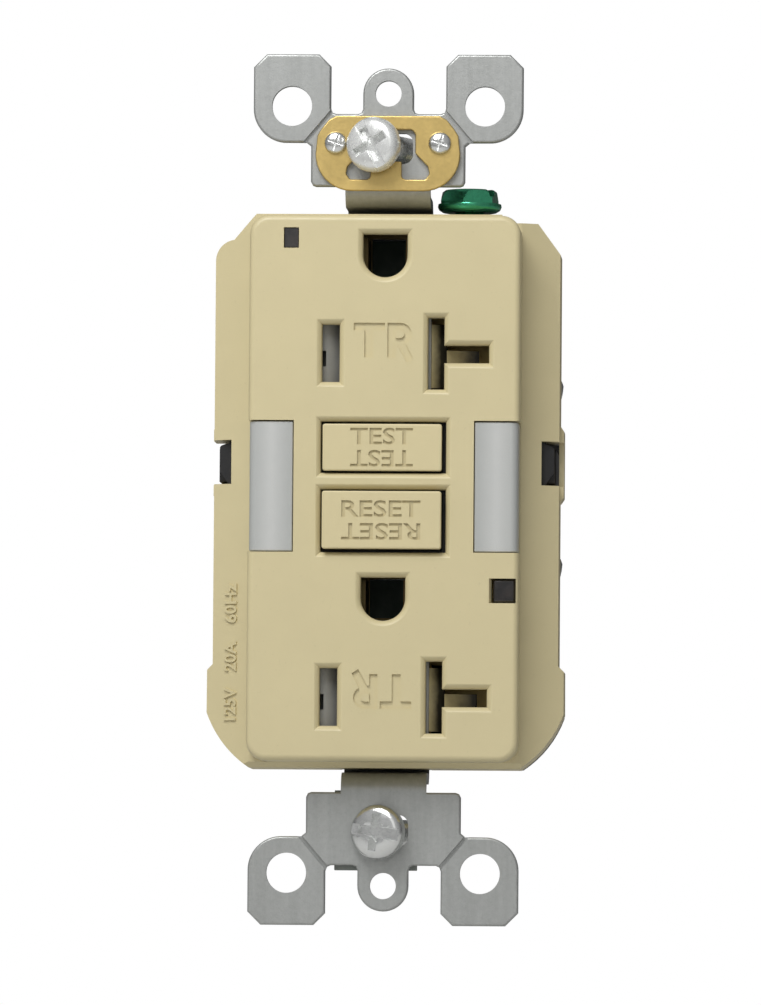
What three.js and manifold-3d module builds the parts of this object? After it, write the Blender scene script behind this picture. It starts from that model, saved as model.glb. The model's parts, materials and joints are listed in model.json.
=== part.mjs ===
// A ground-fault circuit-interrupter (GFCI) outlet: a 20 A tamper-resistant duplex receptacle with
// test and reset buttons and two guide lights, as an assembly of its separate pieces.
// Millimetres. +Z is up, +X is to the right of someone facing the outlet, and +Y runs into the wall.
// The origin is the middle of the device on the wall plane, where the back of the strap's ears rests.
import * as THREE from "three";
import { mergeVertices } from "three/addons/utils/BufferGeometryUtils.js";
import Module from "manifold-3d";

const wasm = await Module();
wasm.setup();

// ---- Driving dimensions ------------------------------------------------------------------------
const FACE_HALF_WIDTH = 16.5; // the rectangular face that shows through a wall plate
const FACE_HALF_HEIGHT = 33.35;
const FACE_TOP = 33.05; // the moulding stops a little short at the top
const FACE_FRONT = -7.2;
const FACE_PLATE = 2.0; // thickness of the moulded face
const FACE_BACK = FACE_FRONT + FACE_PLATE;
const FACE_CORNER = 2.4;
const SHOULDER_FRONT = -1.4; // where the sloping shoulders start, beside the face
const SHOULDER_SLOPE = 2.4 / 4.6;
const COVER_BACK = 8.5; // parting line between cover and back body
const FLANGE_HALF = 21.1;
const WALL = 1.7;

const BODY_FRONT = 8.6;
const BODY_BACK = 26.5;
const BODY_FLOOR = 24.9;

const STRAP = 1.3; // strap sheet thickness
const STRAP_HALF = 5.2; // half the width of the strap's neck and bridge
const BRIDGE_FRONT = 7.2;
const BRIDGE_BACK = BRIDGE_FRONT + STRAP;
const BOX_SCREW_Z = 41.67; // device-box screws, 83.3 mm apart
const PLATE_SCREW_Z = 48.4; // wall-plate screws, 96.8 mm apart

const BLADE_X = 6.35; // plug blades, 12.7 mm apart
const RECEPTACLES = { upper: 16.33, lower: -25.47 }; // height of each pair of blades
const GROUND_RISE = 12.0; // ground pin above the blades
const TEST = { z: 4.85, halfHeight: 3.05 };
const RESET = { z: -3.975, halfHeight: 3.775 };
const POCKET_HALF_WIDTH = 7.55;
const BUTTON_GAP = 0.2;
const LENS = { inner: 11.0, bottom: -7.8, top: 8.2 };
const STATUS = { x: -11.4, z: 30.3, halfWidth: 0.9, halfHeight: 1.25 };
const SENSOR = { x0: 13.3, x1: 16.1, z0: -14.1, z1: -11.0 };
const NOTCH = { inner: 18.9, z0: 0.7, z1: 6.1 };

const BOARD_FRONT = 10.0;
const BOARD_BACK = 11.4;
const TERMINAL_Z = 11.0;
const TERMINAL_Y = 15.0;
const CORNER_SCREW = { x: 16.2, z: 29.2 };
const COIL = { y: 17.6, z0: -27, z1: -13 };
const PIN_Z = RESET.z;
const RIVET = { x: 6.35, z: 42.25 };
const GROUND_SCREW = { x: 9.8, y: 4.95, z: 34.2 };

// ---- Materials ---------------------------------------------------------------------------------
const finish = (color, roughness, metalness = 0) =>
  new THREE.MeshStandardMaterial({ color, roughness, metalness });
const IVORY = finish(0xd0c5a0, 0.5);
const FROSTED = finish(0xd4d6d6, 0.4);
const SMOKED = finish(0x1c1a1a, 0.15);
const BLACK_PLASTIC = finish(0x1d1e20, 0.5);
const GREY_PLASTIC = finish(0xb4b5b3, 0.45);
const FIBRE = finish(0x8f958f, 0.85);
const GALVANISED = finish(0x9ea2a0, 0.45, 0.9);
const ZINC = finish(0xcfd2d4, 0.22, 1);
const BRASS = finish(0xb9974e, 0.32, 1);
const GREEN_ZINC = finish(0x1e7a4e, 0.25, 0.9);
const SPRING_STEEL = finish(0x8c8f92, 0.3, 1);
const COPPER = finish(0xb06a38, 0.4, 0.8);
const FERRITE = finish(0x33363a, 0.6);
const BOARD_GREEN = finish(0x2f6a3c, 0.5);

// ---- Solids ------------------------------------------------------------------------------------
// A closed geometry as a manifold solid, with its shared vertices merged and its faces turned out.
function solid(geometry) {
  const bare = geometry.clone();
  for (const name of Object.keys(bare.attributes)) {
    if (name !== "position") bare.deleteAttribute(name);
  }
  const merged = mergeVertices(bare, 1e-4);
  const corners = [];
  for (let i = 0; i < merged.index.count; i += 3) {
    const [a, b, c] = [0, 1, 2].map((k) => merged.index.getX(i + k));
    if (a !== b && b !== c && c !== a) corners.push(a, b, c);
  }
  const vertProperties = merged.attributes.position.array;
  const build = (order) =>
    new wasm.Manifold(
      new wasm.Mesh({ numProp: 3, vertProperties, triVerts: new Uint32Array(order) }),
    );
  const made = build(corners);
  return made.volume() > 0 ? made : build(corners.reverse());
}

const join = (first, ...rest) => rest.reduce((whole, piece) => whole.add(piece), first);
const cut = (first, ...rest) => rest.reduce((whole, piece) => whole.subtract(piece), first);

const box = (x0, x1, y0, y1, z0, z1) =>
  solid(
    new THREE.BoxGeometry(x1 - x0, y1 - y0, z1 - z0).translate(
      (x0 + x1) / 2,
      (y0 + y1) / 2,
      (z0 + z1) / 2,
    ),
  );

// A box given by its inner and outer distance from the middle, on the side that sign names.
const sideBox = (sign, inner, outer, y0, y1, z0, z1) =>
  box(Math.min(sign * inner, sign * outer), Math.max(sign * inner, sign * outer), y0, y1, z0, z1);

const rodY = (x, z, radius, y0, y1, sides = 16) =>
  solid(
    new THREE.CylinderGeometry(radius, radius, y1 - y0, sides).translate(x, (y0 + y1) / 2, z),
  );

const rodX = (y, z, radius, x0, x1, sides = 16) =>
  solid(
    new THREE.CylinderGeometry(radius, radius, x1 - x0, sides)
      .rotateZ(Math.PI / 2)
      .translate((x0 + x1) / 2, y, z),
  );

const rodZ = (x, y, radius, z0, z1, sides = 16) =>
  solid(
    new THREE.CylinderGeometry(radius, radius, z1 - z0, sides)
      .rotateX(Math.PI / 2)
      .translate(x, y, (z0 + z1) / 2),
  );

const AXIS = {
  x: new THREE.Vector3(1, 0, 0),
  y: new THREE.Vector3(0, 1, 0),
  z: new THREE.Vector3(0, 0, 1),
};
const TO_XZ = new THREE.Matrix4().makeBasis(AXIS.x, AXIS.z, AXIS.y.clone().negate());
const TO_YZ = new THREE.Matrix4().makeBasis(AXIS.y, AXIS.z, AXIS.x);

// A flat outline in X and Z, as thick as y0 to y1.
const plateXZ = (shape, y0, y1, curveSegments = 4) =>
  solid(
    new THREE.ExtrudeGeometry(shape, { depth: y1 - y0, bevelEnabled: false, curveSegments })
      .applyMatrix4(TO_XZ)
      .translate(0, y1, 0),
  );

// An outline in Y and Z, run from x0 to x1.
const prismX = (shape, x0, x1, curveSegments = 5) =>
  solid(
    new THREE.ExtrudeGeometry(shape, { depth: x1 - x0, bevelEnabled: false, curveSegments })
      .applyMatrix4(TO_YZ)
      .translate(x0, 0, 0),
  );

// An outline in X and Y, run from z0 to z1.
const prismZ = (shape, z0, z1, curveSegments = 4) =>
  solid(
    new THREE.ExtrudeGeometry(shape, { depth: z1 - z0, bevelEnabled: false, curveSegments })
      .translate(0, 0, z0),
  );

// A cutter for an opening with a sloping lead-in: the outline at depth, wider at the surface.
const leadIn = (shape, surface, depth, widen, curveSegments = 4) =>
  solid(
    new THREE.ExtrudeGeometry(shape, {
      depth: 1,
      bevelThickness: depth,
      bevelSize: widen,
      bevelSegments: 1,
      curveSegments,
    })
      .applyMatrix4(TO_XZ)
      .translate(0, surface, 0),
  );

const turned = (profile, sides = 24) =>
  solid(new THREE.LatheGeometry(profile.map(([r, y]) => new THREE.Vector2(r, y)), sides));

const outline = (points) => new THREE.Shape(points.map(([a, b]) => new THREE.Vector2(a, b)));

function roundedRectangle(a0, a1, b0, b1, radius) {
  const shape = new THREE.Shape();
  shape.absarc(a1 - radius, b0 + radius, radius, -Math.PI / 2, 0, false);
  shape.absarc(a1 - radius, b1 - radius, radius, 0, Math.PI / 2, false);
  shape.absarc(a0 + radius, b1 - radius, radius, Math.PI / 2, Math.PI, false);
  shape.absarc(a0 + radius, b0 + radius, radius, Math.PI, 1.5 * Math.PI, false);
  return shape;
}

function circleHole(shape, x, z, radius) {
  const hole = new THREE.Path();
  hole.absarc(x, z, radius, 0, 2 * Math.PI, true);
  shape.holes.push(hole);
}

// A round-wire compression spring along +Y from the origin.
function springGeometry(radius, wire, length, turns) {
  const rise = length - 2 * wire;
  class Helix extends THREE.Curve {
    getPoint(t, target = new THREE.Vector3()) {
      const angle = 2 * Math.PI * turns * t;
      return target.set(radius * Math.cos(angle), wire + rise * t, radius * Math.sin(angle));
    }
  }
  const section = new THREE.Shape();
  section.absarc(0, 0, wire, 0, 2 * Math.PI, false);
  return new THREE.ExtrudeGeometry(section, {
    steps: Math.round(turns * 10),
    extrudePath: new Helix(),
    curveSegments: 2,
  });
}

// ---- The assembly ------------------------------------------------------------------------------
const outlet = new THREE.Group();
outlet.name = "gfci_outlet";

// Puts a solid into the assembly as a named mesh, with its own copy of the material.
function place(name, piece, material, position = [0, 0, 0], rotation = [0, 0, 0]) {
  const { numProp, vertProperties, triVerts } = piece.getMesh();
  const points = new THREE.InterleavedBuffer(new Float32Array(vertProperties), numProp);
  const geometry = new THREE.BufferGeometry()
    .setAttribute("position", new THREE.InterleavedBufferAttribute(points, 3, 0))
    .setIndex(new THREE.BufferAttribute(new Uint32Array(triVerts), 1));
  const mesh = new THREE.Mesh(geometry, material.clone());
  mesh.name = name;
  mesh.position.set(...position);
  mesh.rotation.set(...rotation);
  outlet.add(mesh);
}

// ---- Front cover -------------------------------------------------------------------------------
const LOW_CORNER = { x: 8.9, z: -22.6, radius: 13.75, from: -0.349, to: -0.983 };

// The cover's outline seen from the front, drawn in by inset. Its two top corners differ: the right
// one is cut back for the ground screw. Both lower corners are wide arcs.
function flangeOutline(inset) {
  const side = FLANGE_HALF - inset;
  const corner = LOW_CORNER.radius - inset;
  const shape = new THREE.Shape();
  shape.moveTo(-16 + 0.4 * inset, 33.6 - inset);
  shape.lineTo(14, 33.6 - inset);
  shape.lineTo(14.2, 32.55 - inset);
  shape.lineTo(18.4 - 0.5 * inset, 32.55 - inset);
  shape.lineTo(side, 28.9 - 0.4 * inset);
  shape.lineTo(side, -21.4);
  shape.lineTo(side + 0.7, -22.1);
  shape.absarc(LOW_CORNER.x, LOW_CORNER.z, corner, LOW_CORNER.from, LOW_CORNER.to, true);
  shape.absarc(
    -LOW_CORNER.x,
    LOW_CORNER.z,
    corner,
    -Math.PI - LOW_CORNER.to,
    -Math.PI - LOW_CORNER.from,
    true,
  );
  shape.lineTo(-side - 0.7, -22.1);
  shape.lineTo(-side, -21.4);
  shape.absarc(-18.6, 28, 2.5 - inset, Math.PI, 1.65, true);
  return shape;
}

// A D-shaped ground-pin hole with its flat side up.
function groundHole(z) {
  const shape = new THREE.Shape();
  shape.moveTo(2.6, z + 2.55);
  shape.lineTo(-2.6, z + 2.55);
  shape.absarc(0, z, 2.65, Math.PI, 2 * Math.PI, false);
  return shape;
}

const hotSlot = (z) =>
  outline([[-7.5, z - 3.5], [-5.45, z - 3.5], [-5.45, z + 3.5], [-7.5, z + 3.5]]);

// The neutral slot's sideways leg takes a 20 A plug's turned blade.
const neutralSlot = (z) =>
  outline([
    [5.37, z - 4.35],
    [7.3, z - 4.35],
    [7.3, z - 1],
    [12.7, z - 1],
    [12.7, z + 0.85],
    [7.3, z + 0.85],
    [7.3, z + 4.35],
    [5.37, z + 4.35],
  ]);

const pocket = ({ z, halfHeight }) =>
  outline([
    [-POCKET_HALF_WIDTH, z - halfHeight],
    [POCKET_HALF_WIDTH, z - halfHeight],
    [POCKET_HALF_WIDTH, z + halfHeight],
    [-POCKET_HALF_WIDTH, z + halfHeight],
  ]);

// Cutters for one opening in the face: straight through, with a sloping lead-in of 0.85 mm.
const opening = (shape) => [
  plateXZ(shape, FACE_FRONT - 1, FACE_BACK + 1),
  leadIn(shape, FACE_FRONT, 0.9, 0.85),
];

function shoulderCutters() {
  const reach = 24;
  const drop = (distance) => SHOULDER_FRONT + distance * SHOULDER_SLOPE;
  const ahead = SHOULDER_FRONT - 2;
  const sides = [-1, 1].map((sign) =>
    prismZ(
      outline([
        [sign * FACE_HALF_WIDTH, SHOULDER_FRONT],
        [sign * reach, drop(reach - FACE_HALF_WIDTH)],
        [sign * reach, ahead],
        [sign * FACE_HALF_WIDTH, ahead],
      ]),
      -36,
      36,
    ),
  );
  const bottom = prismX(
    outline([
      [SHOULDER_FRONT, -FACE_HALF_HEIGHT],
      [ahead, -FACE_HALF_HEIGHT],
      [ahead, -FACE_HALF_HEIGHT - 1.5],
      [SHOULDER_FRONT + 1.5, -FACE_HALF_HEIGHT - 1.5],
    ]),
    -reach,
    reach,
  );
  return [...sides, bottom];
}

function frontCover() {
  const faceOutline = (inset, corner) =>
    roundedRectangle(
      inset - FACE_HALF_WIDTH,
      FACE_HALF_WIDTH - inset,
      inset - FACE_HALF_HEIGHT,
      FACE_TOP - inset,
      corner,
    );
  const flange = cut(plateXZ(flangeOutline(0), SHOULDER_FRONT, COVER_BACK), ...shoulderCutters());
  const pads = [-1, 1].map((sign) => sideBox(sign, 20.6, 21.6, 3.2, COVER_BACK, -1.3, 8));
  const face = plateXZ(faceOutline(0, FACE_CORNER), FACE_FRONT, 3);
  const shell = cut(
    join(flange, face, ...pads),
    plateXZ(faceOutline(1.6, 0.6), FACE_BACK, COVER_BACK + 1),
    plateXZ(flangeOutline(WALL), 2.6, COVER_BACK + 1),
  );
  const bosses = [];
  const pilots = [];
  for (const x of [-CORNER_SCREW.x, CORNER_SCREW.x]) {
    for (const z of [-CORNER_SCREW.z, CORNER_SCREW.z]) {
      bosses.push(rodY(x, z, 2.3, 1, COVER_BACK, 12));
      pilots.push(rodY(x, z, 1.45, 1.7, COVER_BACK + 1, 12));
    }
  }
  const openings = Object.values(RECEPTACLES).flatMap((z) => [
    ...opening(hotSlot(z)),
    ...opening(neutralSlot(z)),
    ...opening(groundHole(z + GROUND_RISE)),
  ]);
  const windows = [-1, 1].map((sign) =>
    sideBox(sign, LENS.inner, 18, FACE_FRONT - 1, SHOULDER_FRONT - 0.15, LENS.bottom, LENS.top),
  );
  const notches = [-1, 1].map((sign) =>
    sideBox(sign, NOTCH.inner, 23, -3, COVER_BACK + 1, NOTCH.z0, NOTCH.z1),
  );
  const neckRoom = [-1, 1].map((sign) =>
    box(-5.5, 5.5, 6.2, COVER_BACK + 1, Math.min(sign * 31.4, sign * 35), Math.max(sign * 31.4, sign * 35)),
  );
  return cut(
    join(shell, ...bosses),
    ...pilots,
    ...openings,
    ...opening(pocket(TEST)),
    ...opening(pocket(RESET)),
    ...windows,
    ...notches,
    ...neckRoom,
    box(5.3, 14.2, 2.2, COVER_BACK + 1, 31.5, 35), // room for the ground tab and its screw
    box(
      STATUS.x - STATUS.halfWidth,
      STATUS.x + STATUS.halfWidth,
      FACE_FRONT - 1,
      FACE_BACK + 1,
      STATUS.z - STATUS.halfHeight,
      STATUS.z + STATUS.halfHeight,
    ),
    box(SENSOR.x0, SENSOR.x1, FACE_FRONT - 1, -2.8, SENSOR.z0, SENSOR.z1),
  );
}

// ---- Lenses ------------------------------------------------------------------------------------
// A guide-light lens wraps round the edge of the face: a front pane and a side pane.
function guideLens(sign) {
  const outer = FACE_HALF_WIDTH - 0.2;
  const front = FACE_FRONT + 0.2;
  const side = SHOULDER_FRONT - 0.4;
  const shape = new THREE.Shape();
  shape.moveTo(LENS.inner + 0.15, front);
  shape.lineTo(outer - 1, front);
  shape.absarc(outer - 1, front + 1, 1, -Math.PI / 2, 0, false);
  shape.lineTo(outer, side);
  shape.lineTo(outer - 1.3, side);
  shape.lineTo(outer - 1.3, front + 1.5);
  shape.lineTo(LENS.inner + 0.15, front + 1.5);
  const pane = new THREE.ExtrudeGeometry(shape, {
    depth: LENS.top - LENS.bottom - 0.3,
    bevelEnabled: false,
    curveSegments: 4,
  });
  return solid(pane.translate(0, 0, LENS.bottom + 0.15).scale(sign, 1, 1));
}

// A guide-light diode behind its lens, on two leads that stand on the contact carrier.
const guideLed = (sign) =>
  join(
    sideBox(sign, 11.9, 14.5, -4.8, -2.6, -1.6, 1.6),
    sideBox(sign, 13.7, 14.2, -2.7, -1.15, -1.3, -0.8),
    sideBox(sign, 13.7, 14.2, -2.7, -1.15, 0.8, 1.3),
  );

// The status light's pipe, from the face back to its diode on the board.
const statusPipe = () =>
  join(
    box(
      STATUS.x - 0.8,
      STATUS.x + 0.8,
      FACE_FRONT + 0.3,
      FACE_BACK,
      STATUS.z - 1.1,
      STATUS.z + 1.1,
    ),
    box(STATUS.x - 0.8, STATUS.x + 0.8, FACE_BACK, BOARD_FRONT - 0.3, STATUS.z - 1.1, STATUS.z + 0.6),
    box(STATUS.x - 1.3, STATUS.x + 1.3, FACE_BACK + 0.2, -3.6, STATUS.z - 1.6, STATUS.z + 1.05),
  );

const sensorWindow = () => box(SENSOR.x0 + 0.1, SENSOR.x1 - 0.1, -6.9, -3, SENSOR.z0 + 0.1, SENSOR.z1 - 0.1);

// ---- Buttons -----------------------------------------------------------------------------------
const BUTTON_BACK = -3.2;

// A button cap with a collar that stops it behind the face.
function buttonCap({ z, halfHeight }, front) {
  const halfWidth = POCKET_HALF_WIDTH - BUTTON_GAP;
  const half = halfHeight - BUTTON_GAP;
  const cap = roundedRectangle(-halfWidth, halfWidth, z - half, z + half, 0.35);
  return join(
    plateXZ(cap, front, BUTTON_BACK, 2),
    box(-halfWidth - 0.6, halfWidth + 0.6, FACE_BACK + 0.2, BUTTON_BACK, z - half - 0.5, z + half + 0.5),
  );
}

const testButton = () =>
  join(buttonCap(TEST, FACE_FRONT - 0.1), rodY(0, TEST.z, 1.2, BUTTON_BACK - 0.2, 1.6, 14));

// The reset button stands proud while the device is tripped. Its back is bored for the pin.
const resetButton = () =>
  cut(buttonCap(RESET, FACE_FRONT - 0.9), rodY(0, RESET.z, 1.05, -5, BUTTON_BACK + 1, 14));

const resetPin = () =>
  solid(
    new THREE.LatheGeometry(
      [[0, -4.9], [0.9, -4.9], [0.9, 15.6], [0.55, 15.9], [0.55, 16.8], [0.9, 17.1], [0.9, 18], [0, 18.4]]
        .map(([r, y]) => new THREE.Vector2(r, y)),
      14,
    ).translate(0, 0, PIN_Z),
  );

// ---- Tamper-resistant shutters -----------------------------------------------------------------
const SHUTTER = { front: -4.95, back: -3.2, travel: 2.6 };

// The sliding shutter: a frame with a sloping blade stop behind each slot. Both blades together
// push it to the left, and its two windows then come in line with the slots.
function shutter() {
  const stop = (x) =>
    prismZ(
      outline([
        [x, SHUTTER.front],
        [x + 0.4, SHUTTER.front],
        [x + 2.35, SHUTTER.back - 0.35],
        [x + 2.35, SHUTTER.back],
        [x, SHUTTER.back],
      ]),
      -4.5,
      4.5,
    );
  const slider = box(-8.7, 11, SHUTTER.front, SHUTTER.back, -5.4, 5.4);
  return cut(
    join(
      cut(
        slider,
        box(-7.7, -2.4, -6, 0, -4.5, 4.5),
        box(5.2, 10.2, -6, 0, -4.5, 4.5),
        box(7.6, 12, -6, 0, -1.3, 1.15),
      ),
      stop(-7.75),
      stop(5.15),
    ),
    box(-7.8, -7.2, -6, -3.9, -0.8, 1.2),
  );
}

// The fixed frame that the shutter slides on.
const shutterFrame = () =>
  cut(
    join(
      box(-13.2, 14.2, SHUTTER.back + 0.1, -2.2, -5.6, 5.6),
      box(-13.2, -12.4, SHUTTER.front, -2.2, -5.6, 5.6),
      box(13.4, 14.2, SHUTTER.front, -2.2, -5.6, 5.6),
    ),
    box(-7.7, -5.2, -6, 0, -3.8, 3.8),
    box(5.2, 7.5, -6, 0, -4.6, 4.6),
    box(5.2, 12.9, -6, 0, -1.3, 1.15),
  );

// ---- Contact carrier and contacts --------------------------------------------------------------
const CARRIER = { front: -1, floor: 5.6, back: 7, half: 14.6, z0: -31.2, z1: 28.4 };

function contactCarrier() {
  const { front, floor, back, half, z0, z1 } = CARRIER;
  const tray = cut(
    box(-half, half, front, back, z0, z1),
    box(-half + 1, -4.6, front - 1, floor, z0 + 1, z1 - 1),
    box(4.6, half - 1, front - 1, floor, z0 + 1, z1 - 1),
    box(-3.6, 3.6, front - 1, floor, z0 + 1, z1 - 1),
  );
  const seat = join(
    box(-3.6, 3.6, 2.8, floor, -8.2, 8.2),
    box(-half, -half + 1.6, front, front + 1.2, -2, 2),
    box(half - 1.6, half, front, front + 1.2, -2, 2),
  );
  const bladeRoom = Object.values(RECEPTACLES).flatMap((z) => [
    box(-7.6, -5.1, floor - 1, back + 1, z - 4.4, z + 4.4),
    box(5.1, 7.6, floor - 1, back + 1, z - 4.4, z + 4.4),
  ]);
  const groundRoom = Object.values(RECEPTACLES).map((z) =>
    box(-4.8, 4.8, front - 1, back + 1, z + GROUND_RISE - 4.6, z + GROUND_RISE + 4.6),
  );
  const cornerRoom = [-1, 1].flatMap((sx) =>
    [-1, 1].map((sz) => rodY(sx * CORNER_SCREW.x, sz * CORNER_SCREW.z, 2.7, front - 1, back + 1, 16)),
  );
  return cut(
    join(tray, seat),
    ...bladeRoom,
    ...groundRoom,
    ...cornerRoom,
    rodY(0, PIN_Z, 1.3, front, back + 1, 16),
    rodY(0, TEST.z, 1.5, front, 4.4, 16),
    box(STATUS.x - 1.2, STATUS.x + 1.2, front - 1, back + 1, 26, 32),
    box(SENSOR.x0 - 0.4, CARRIER.half + 1, front - 1, 0.6, SENSOR.z0, SENSOR.z1),
  );
}

// One side's contact strip: a base with a pair of spring fingers for each receptacle.
// inner is the blade slot's edge nearer the middle, and sign is the side of the device.
function contactStrip(sign) {
  const base = sideBox(sign, 4.8, 13.2, 4.7, 5.4, -30, 21.4);
  const slots = [];
  const fingers = [];
  for (const z of Object.values(RECEPTACLES)) {
    slots.push(sideBox(sign, BLADE_X - 0.85, BLADE_X + 0.85, 4, 6, z - 4.2, z + 4.2));
    fingers.push(sideBox(sign, 4.95, 5.5, -1.9, 5, z - 3.2, z + 3.2));
    fingers.push(sideBox(sign, 7.2, 7.75, -1.9, 5, z - 3.2, z - 1.4));
    fingers.push(sideBox(sign, 7.2, 7.75, -1.9, 5, z + 1.25, z + 3.2));
  }
  const lip = sideBox(sign, 12.6, 13.2, 0.5, 5, -20, 16);
  return join(cut(base, ...slots), ...fingers, lip);
}

// A ground contact: a pierced foot on the strap and two leaves either side of the ground pin.
function groundContact(z) {
  const foot = cut(box(-4.4, 4.4, 6.3, 7.05, z - 4.2, z + 4.2), box(-2.2, 2.2, 5, 8, z - 2, z + 2.8));
  const leaves = [-1, 1].map((sign) => sideBox(sign, 2.3, 2.9, -2.2, 6.6, z - 1.9, z + 2.3));
  return join(foot, ...leaves);
}

// ---- Mounting strap ----------------------------------------------------------------------------
// Half of the strap seen from the side: the plate's edge, the neck that bends back past the cover,
// and the bridge that runs down inside the device.
function strapProfile() {
  const edge = 37.05;
  const neck = 34.55;
  const outer = edge - neck;
  const inner = outer - STRAP;
  const bend = { y: BRIDGE_FRONT - inner, z: neck - inner };
  const shape = new THREE.Shape();
  shape.moveTo(0, edge + 1);
  shape.lineTo(-STRAP, edge + 1);
  shape.absarc(-STRAP + outer, edge, outer, Math.PI, 1.5 * Math.PI, false);
  shape.absarc(bend.y, bend.z, inner, Math.PI / 2, 0, true);
  shape.lineTo(BRIDGE_FRONT, -0.5);
  shape.lineTo(BRIDGE_BACK, -0.5);
  shape.absarc(bend.y, bend.z, outer, 0, Math.PI / 2, false);
  shape.absarc(-STRAP + outer, edge, inner, 1.5 * Math.PI, Math.PI, true);
  return shape;
}

const EAR_HOLE = { x: 11.8, z: 46.85, radius: 2.45 };

// The flat end of the strap: the screw plate, two break-off ears and the wall-plate tab.
function strapEndOutline() {
  const shape = new THREE.Shape();
  shape.moveTo(0, 37);
  for (const [x, z] of [[8.8, 37], [9.2, 37.2], [9.43, 37.7], [9.43, 42], [10.2, 42.4]]) {
    shape.lineTo(x, z);
  }
  shape.absarc(12.4, 46.5, 4.1, -Math.PI / 2, 0, false);
  const cornersToTab = [[16.5, 51.6], [14.9, 53.2], [8.5, 53.2], [7.05, 51.75], [7.05, 46.5]];
  for (const [x, z] of [...cornersToTab, [6.5, 45.9], [3.6, 45.9], [3.1, 46.4]]) {
    shape.lineTo(x, z);
  }
  shape.absarc(0, PLATE_SCREW_Z, 3.1, 0, Math.PI, false);
  for (const [x, z] of [[3.1, 46.4], [3.6, 45.9], [6.5, 45.9], ...cornersToTab.reverse()]) {
    shape.lineTo(-x, z);
  }
  shape.absarc(-12.4, 46.5, 4.1, Math.PI, 1.5 * Math.PI, false);
  for (const [x, z] of [[10.2, 42.4], [9.43, 42], [9.43, 37.7], [9.2, 37.2], [8.8, 37]]) {
    shape.lineTo(-x, z);
  }
  for (const x of [-EAR_HOLE.x, EAR_HOLE.x]) circleHole(shape, x, EAR_HOLE.z, EAR_HOLE.radius);
  circleHole(shape, 0, PLATE_SCREW_Z, 1.6);
  shape.holes.push(roundedRectangle(-3.05, 3.05, BOX_SCREW_Z - 1.92, BOX_SCREW_Z + 1.92, 1.2));
  return shape;
}

// The score line across the root of an ear, where it snaps off.
function earScore(sign) {
  const groove = new THREE.BoxGeometry(7, 0.9, 0.55)
    .rotateY(sign * Math.atan2(3.7, 3.15))
    .translate(sign * 8.62, -STRAP, 44.25);
  return solid(groove);
}

function strapEnd() {
  return cut(
    join(plateXZ(strapEndOutline(), -STRAP, 0, 4), prismX(strapProfile(), -STRAP_HALF, STRAP_HALF)),
    earScore(-1),
    earScore(1),
  );
}

function mountingStrap() {
  const top = strapEnd();
  const bottom = strapEnd().mirror([0, 0, 1]);
  const groundTab = join(
    box(STRAP_HALF - 1, 13.6, BRIDGE_FRONT, BRIDGE_BACK, 30.2, 33.7),
    box(6, 13.6, 2.9, BRIDGE_BACK, 32.4, 33.7),
  );
  const pinHoles = Object.values(RECEPTACLES).map((z) =>
    box(-2.4, 2.4, 6, 10, z + GROUND_RISE - 2.1, z + GROUND_RISE + 2.9),
  );
  return cut(
    join(top, bottom, groundTab),
    ...pinHoles,
    rodY(-RIVET.x, RIVET.z, 1.15, -2, 1, 12),
    rodY(RIVET.x, RIVET.z, 1.15, -2, 1, 12),
    rodY(0, PIN_Z, 1.5, 6, 10, 16),
    rodZ(GROUND_SCREW.x, GROUND_SCREW.y, 2.15, 31, 35, 16),
  );
}

// The brass clip that grounds the strap through the mounting screw: a sprung tongue stands up
// between two feet of its opening and bears on the screw.
const CLIP_FRONT = -2.2;

function groundClip() {
  const shape = new THREE.Shape();
  shape.moveTo(6.8, 45.6);
  shape.lineTo(-6.8, 45.6);
  shape.lineTo(-8.6, 43.2);
  shape.absarc(-4.35, 40.9, 4.5, -Math.PI, -Math.PI / 2, false);
  shape.absarc(4.35, 40.9, 4.5, -Math.PI / 2, 0, false);
  shape.lineTo(8.6, 43.2);
  const bell = outline([
    [-2.9, 43.9], [2.9, 43.9], [3.35, 43.4], [3.35, 41], [4.9, 39.4], [5.1, 38.5], [4.6, 37.8],
    [2.1, 37.8], [1.7, 38.1], [1.7, 40], [-2.1, 40], [-2.1, 38.1], [-2.5, 37.8], [-4.6, 37.8],
    [-5.1, 38.5], [-4.9, 39.4], [-3.35, 41], [-3.35, 43.4],
  ]);
  shape.holes.push(bell);
  return cut(
    plateXZ(shape, CLIP_FRONT, -STRAP - 0.1),
    rodY(-RIVET.x, RIVET.z, 1.15, -4, 1, 12),
    rodY(RIVET.x, RIVET.z, 1.15, -4, 1, 12),
  );
}

const clipRivet = () =>
  turned([[0, -2.95], [0.9, -2.9], [1.38, -2.6], [1.38, -2.3], [1, -2.3], [1, 0.1], [1.5, 0.1], [1.3, 0.6], [0, 0.7]], 12);

// ---- Screws ------------------------------------------------------------------------------------
// A combination drive in a head whose top is at y = top: a straight slot across and a cross recess.
const combinationDrive = (top, radius, slotWidth) => [
  box(-radius - 1, radius + 1, top - 1, top + 0.55, -slotWidth / 2, slotWidth / 2),
  box(-slotWidth / 2, slotWidth / 2, top - 1, top + 1.3, -radius * 0.6, radius * 0.6),
  box(-radius * 0.6, radius * 0.6, top - 1, top + 1.3, -slotWidth / 2, slotWidth / 2),
];

const MOUNT_SCREW = { headRadius: 3.35, head: 2.1, shankRadius: 1.68, length: 19 };

// A device-box screw along +Y, with the underside of its head at the origin.
function mountScrew() {
  const { headRadius, head, shankRadius, length } = MOUNT_SCREW;
  const whole = turned([
    [0, -head], [headRadius * 0.62, -head + 0.08], [headRadius * 0.88, -head + 0.45],
    [headRadius, -head + 1], [headRadius, 0], [shankRadius, 0], [shankRadius, length - 0.8],
    [shankRadius - 0.6, length], [0, length],
  ], 18);
  return cut(whole, ...combinationDrive(-head, headRadius, 1.15));
}

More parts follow.
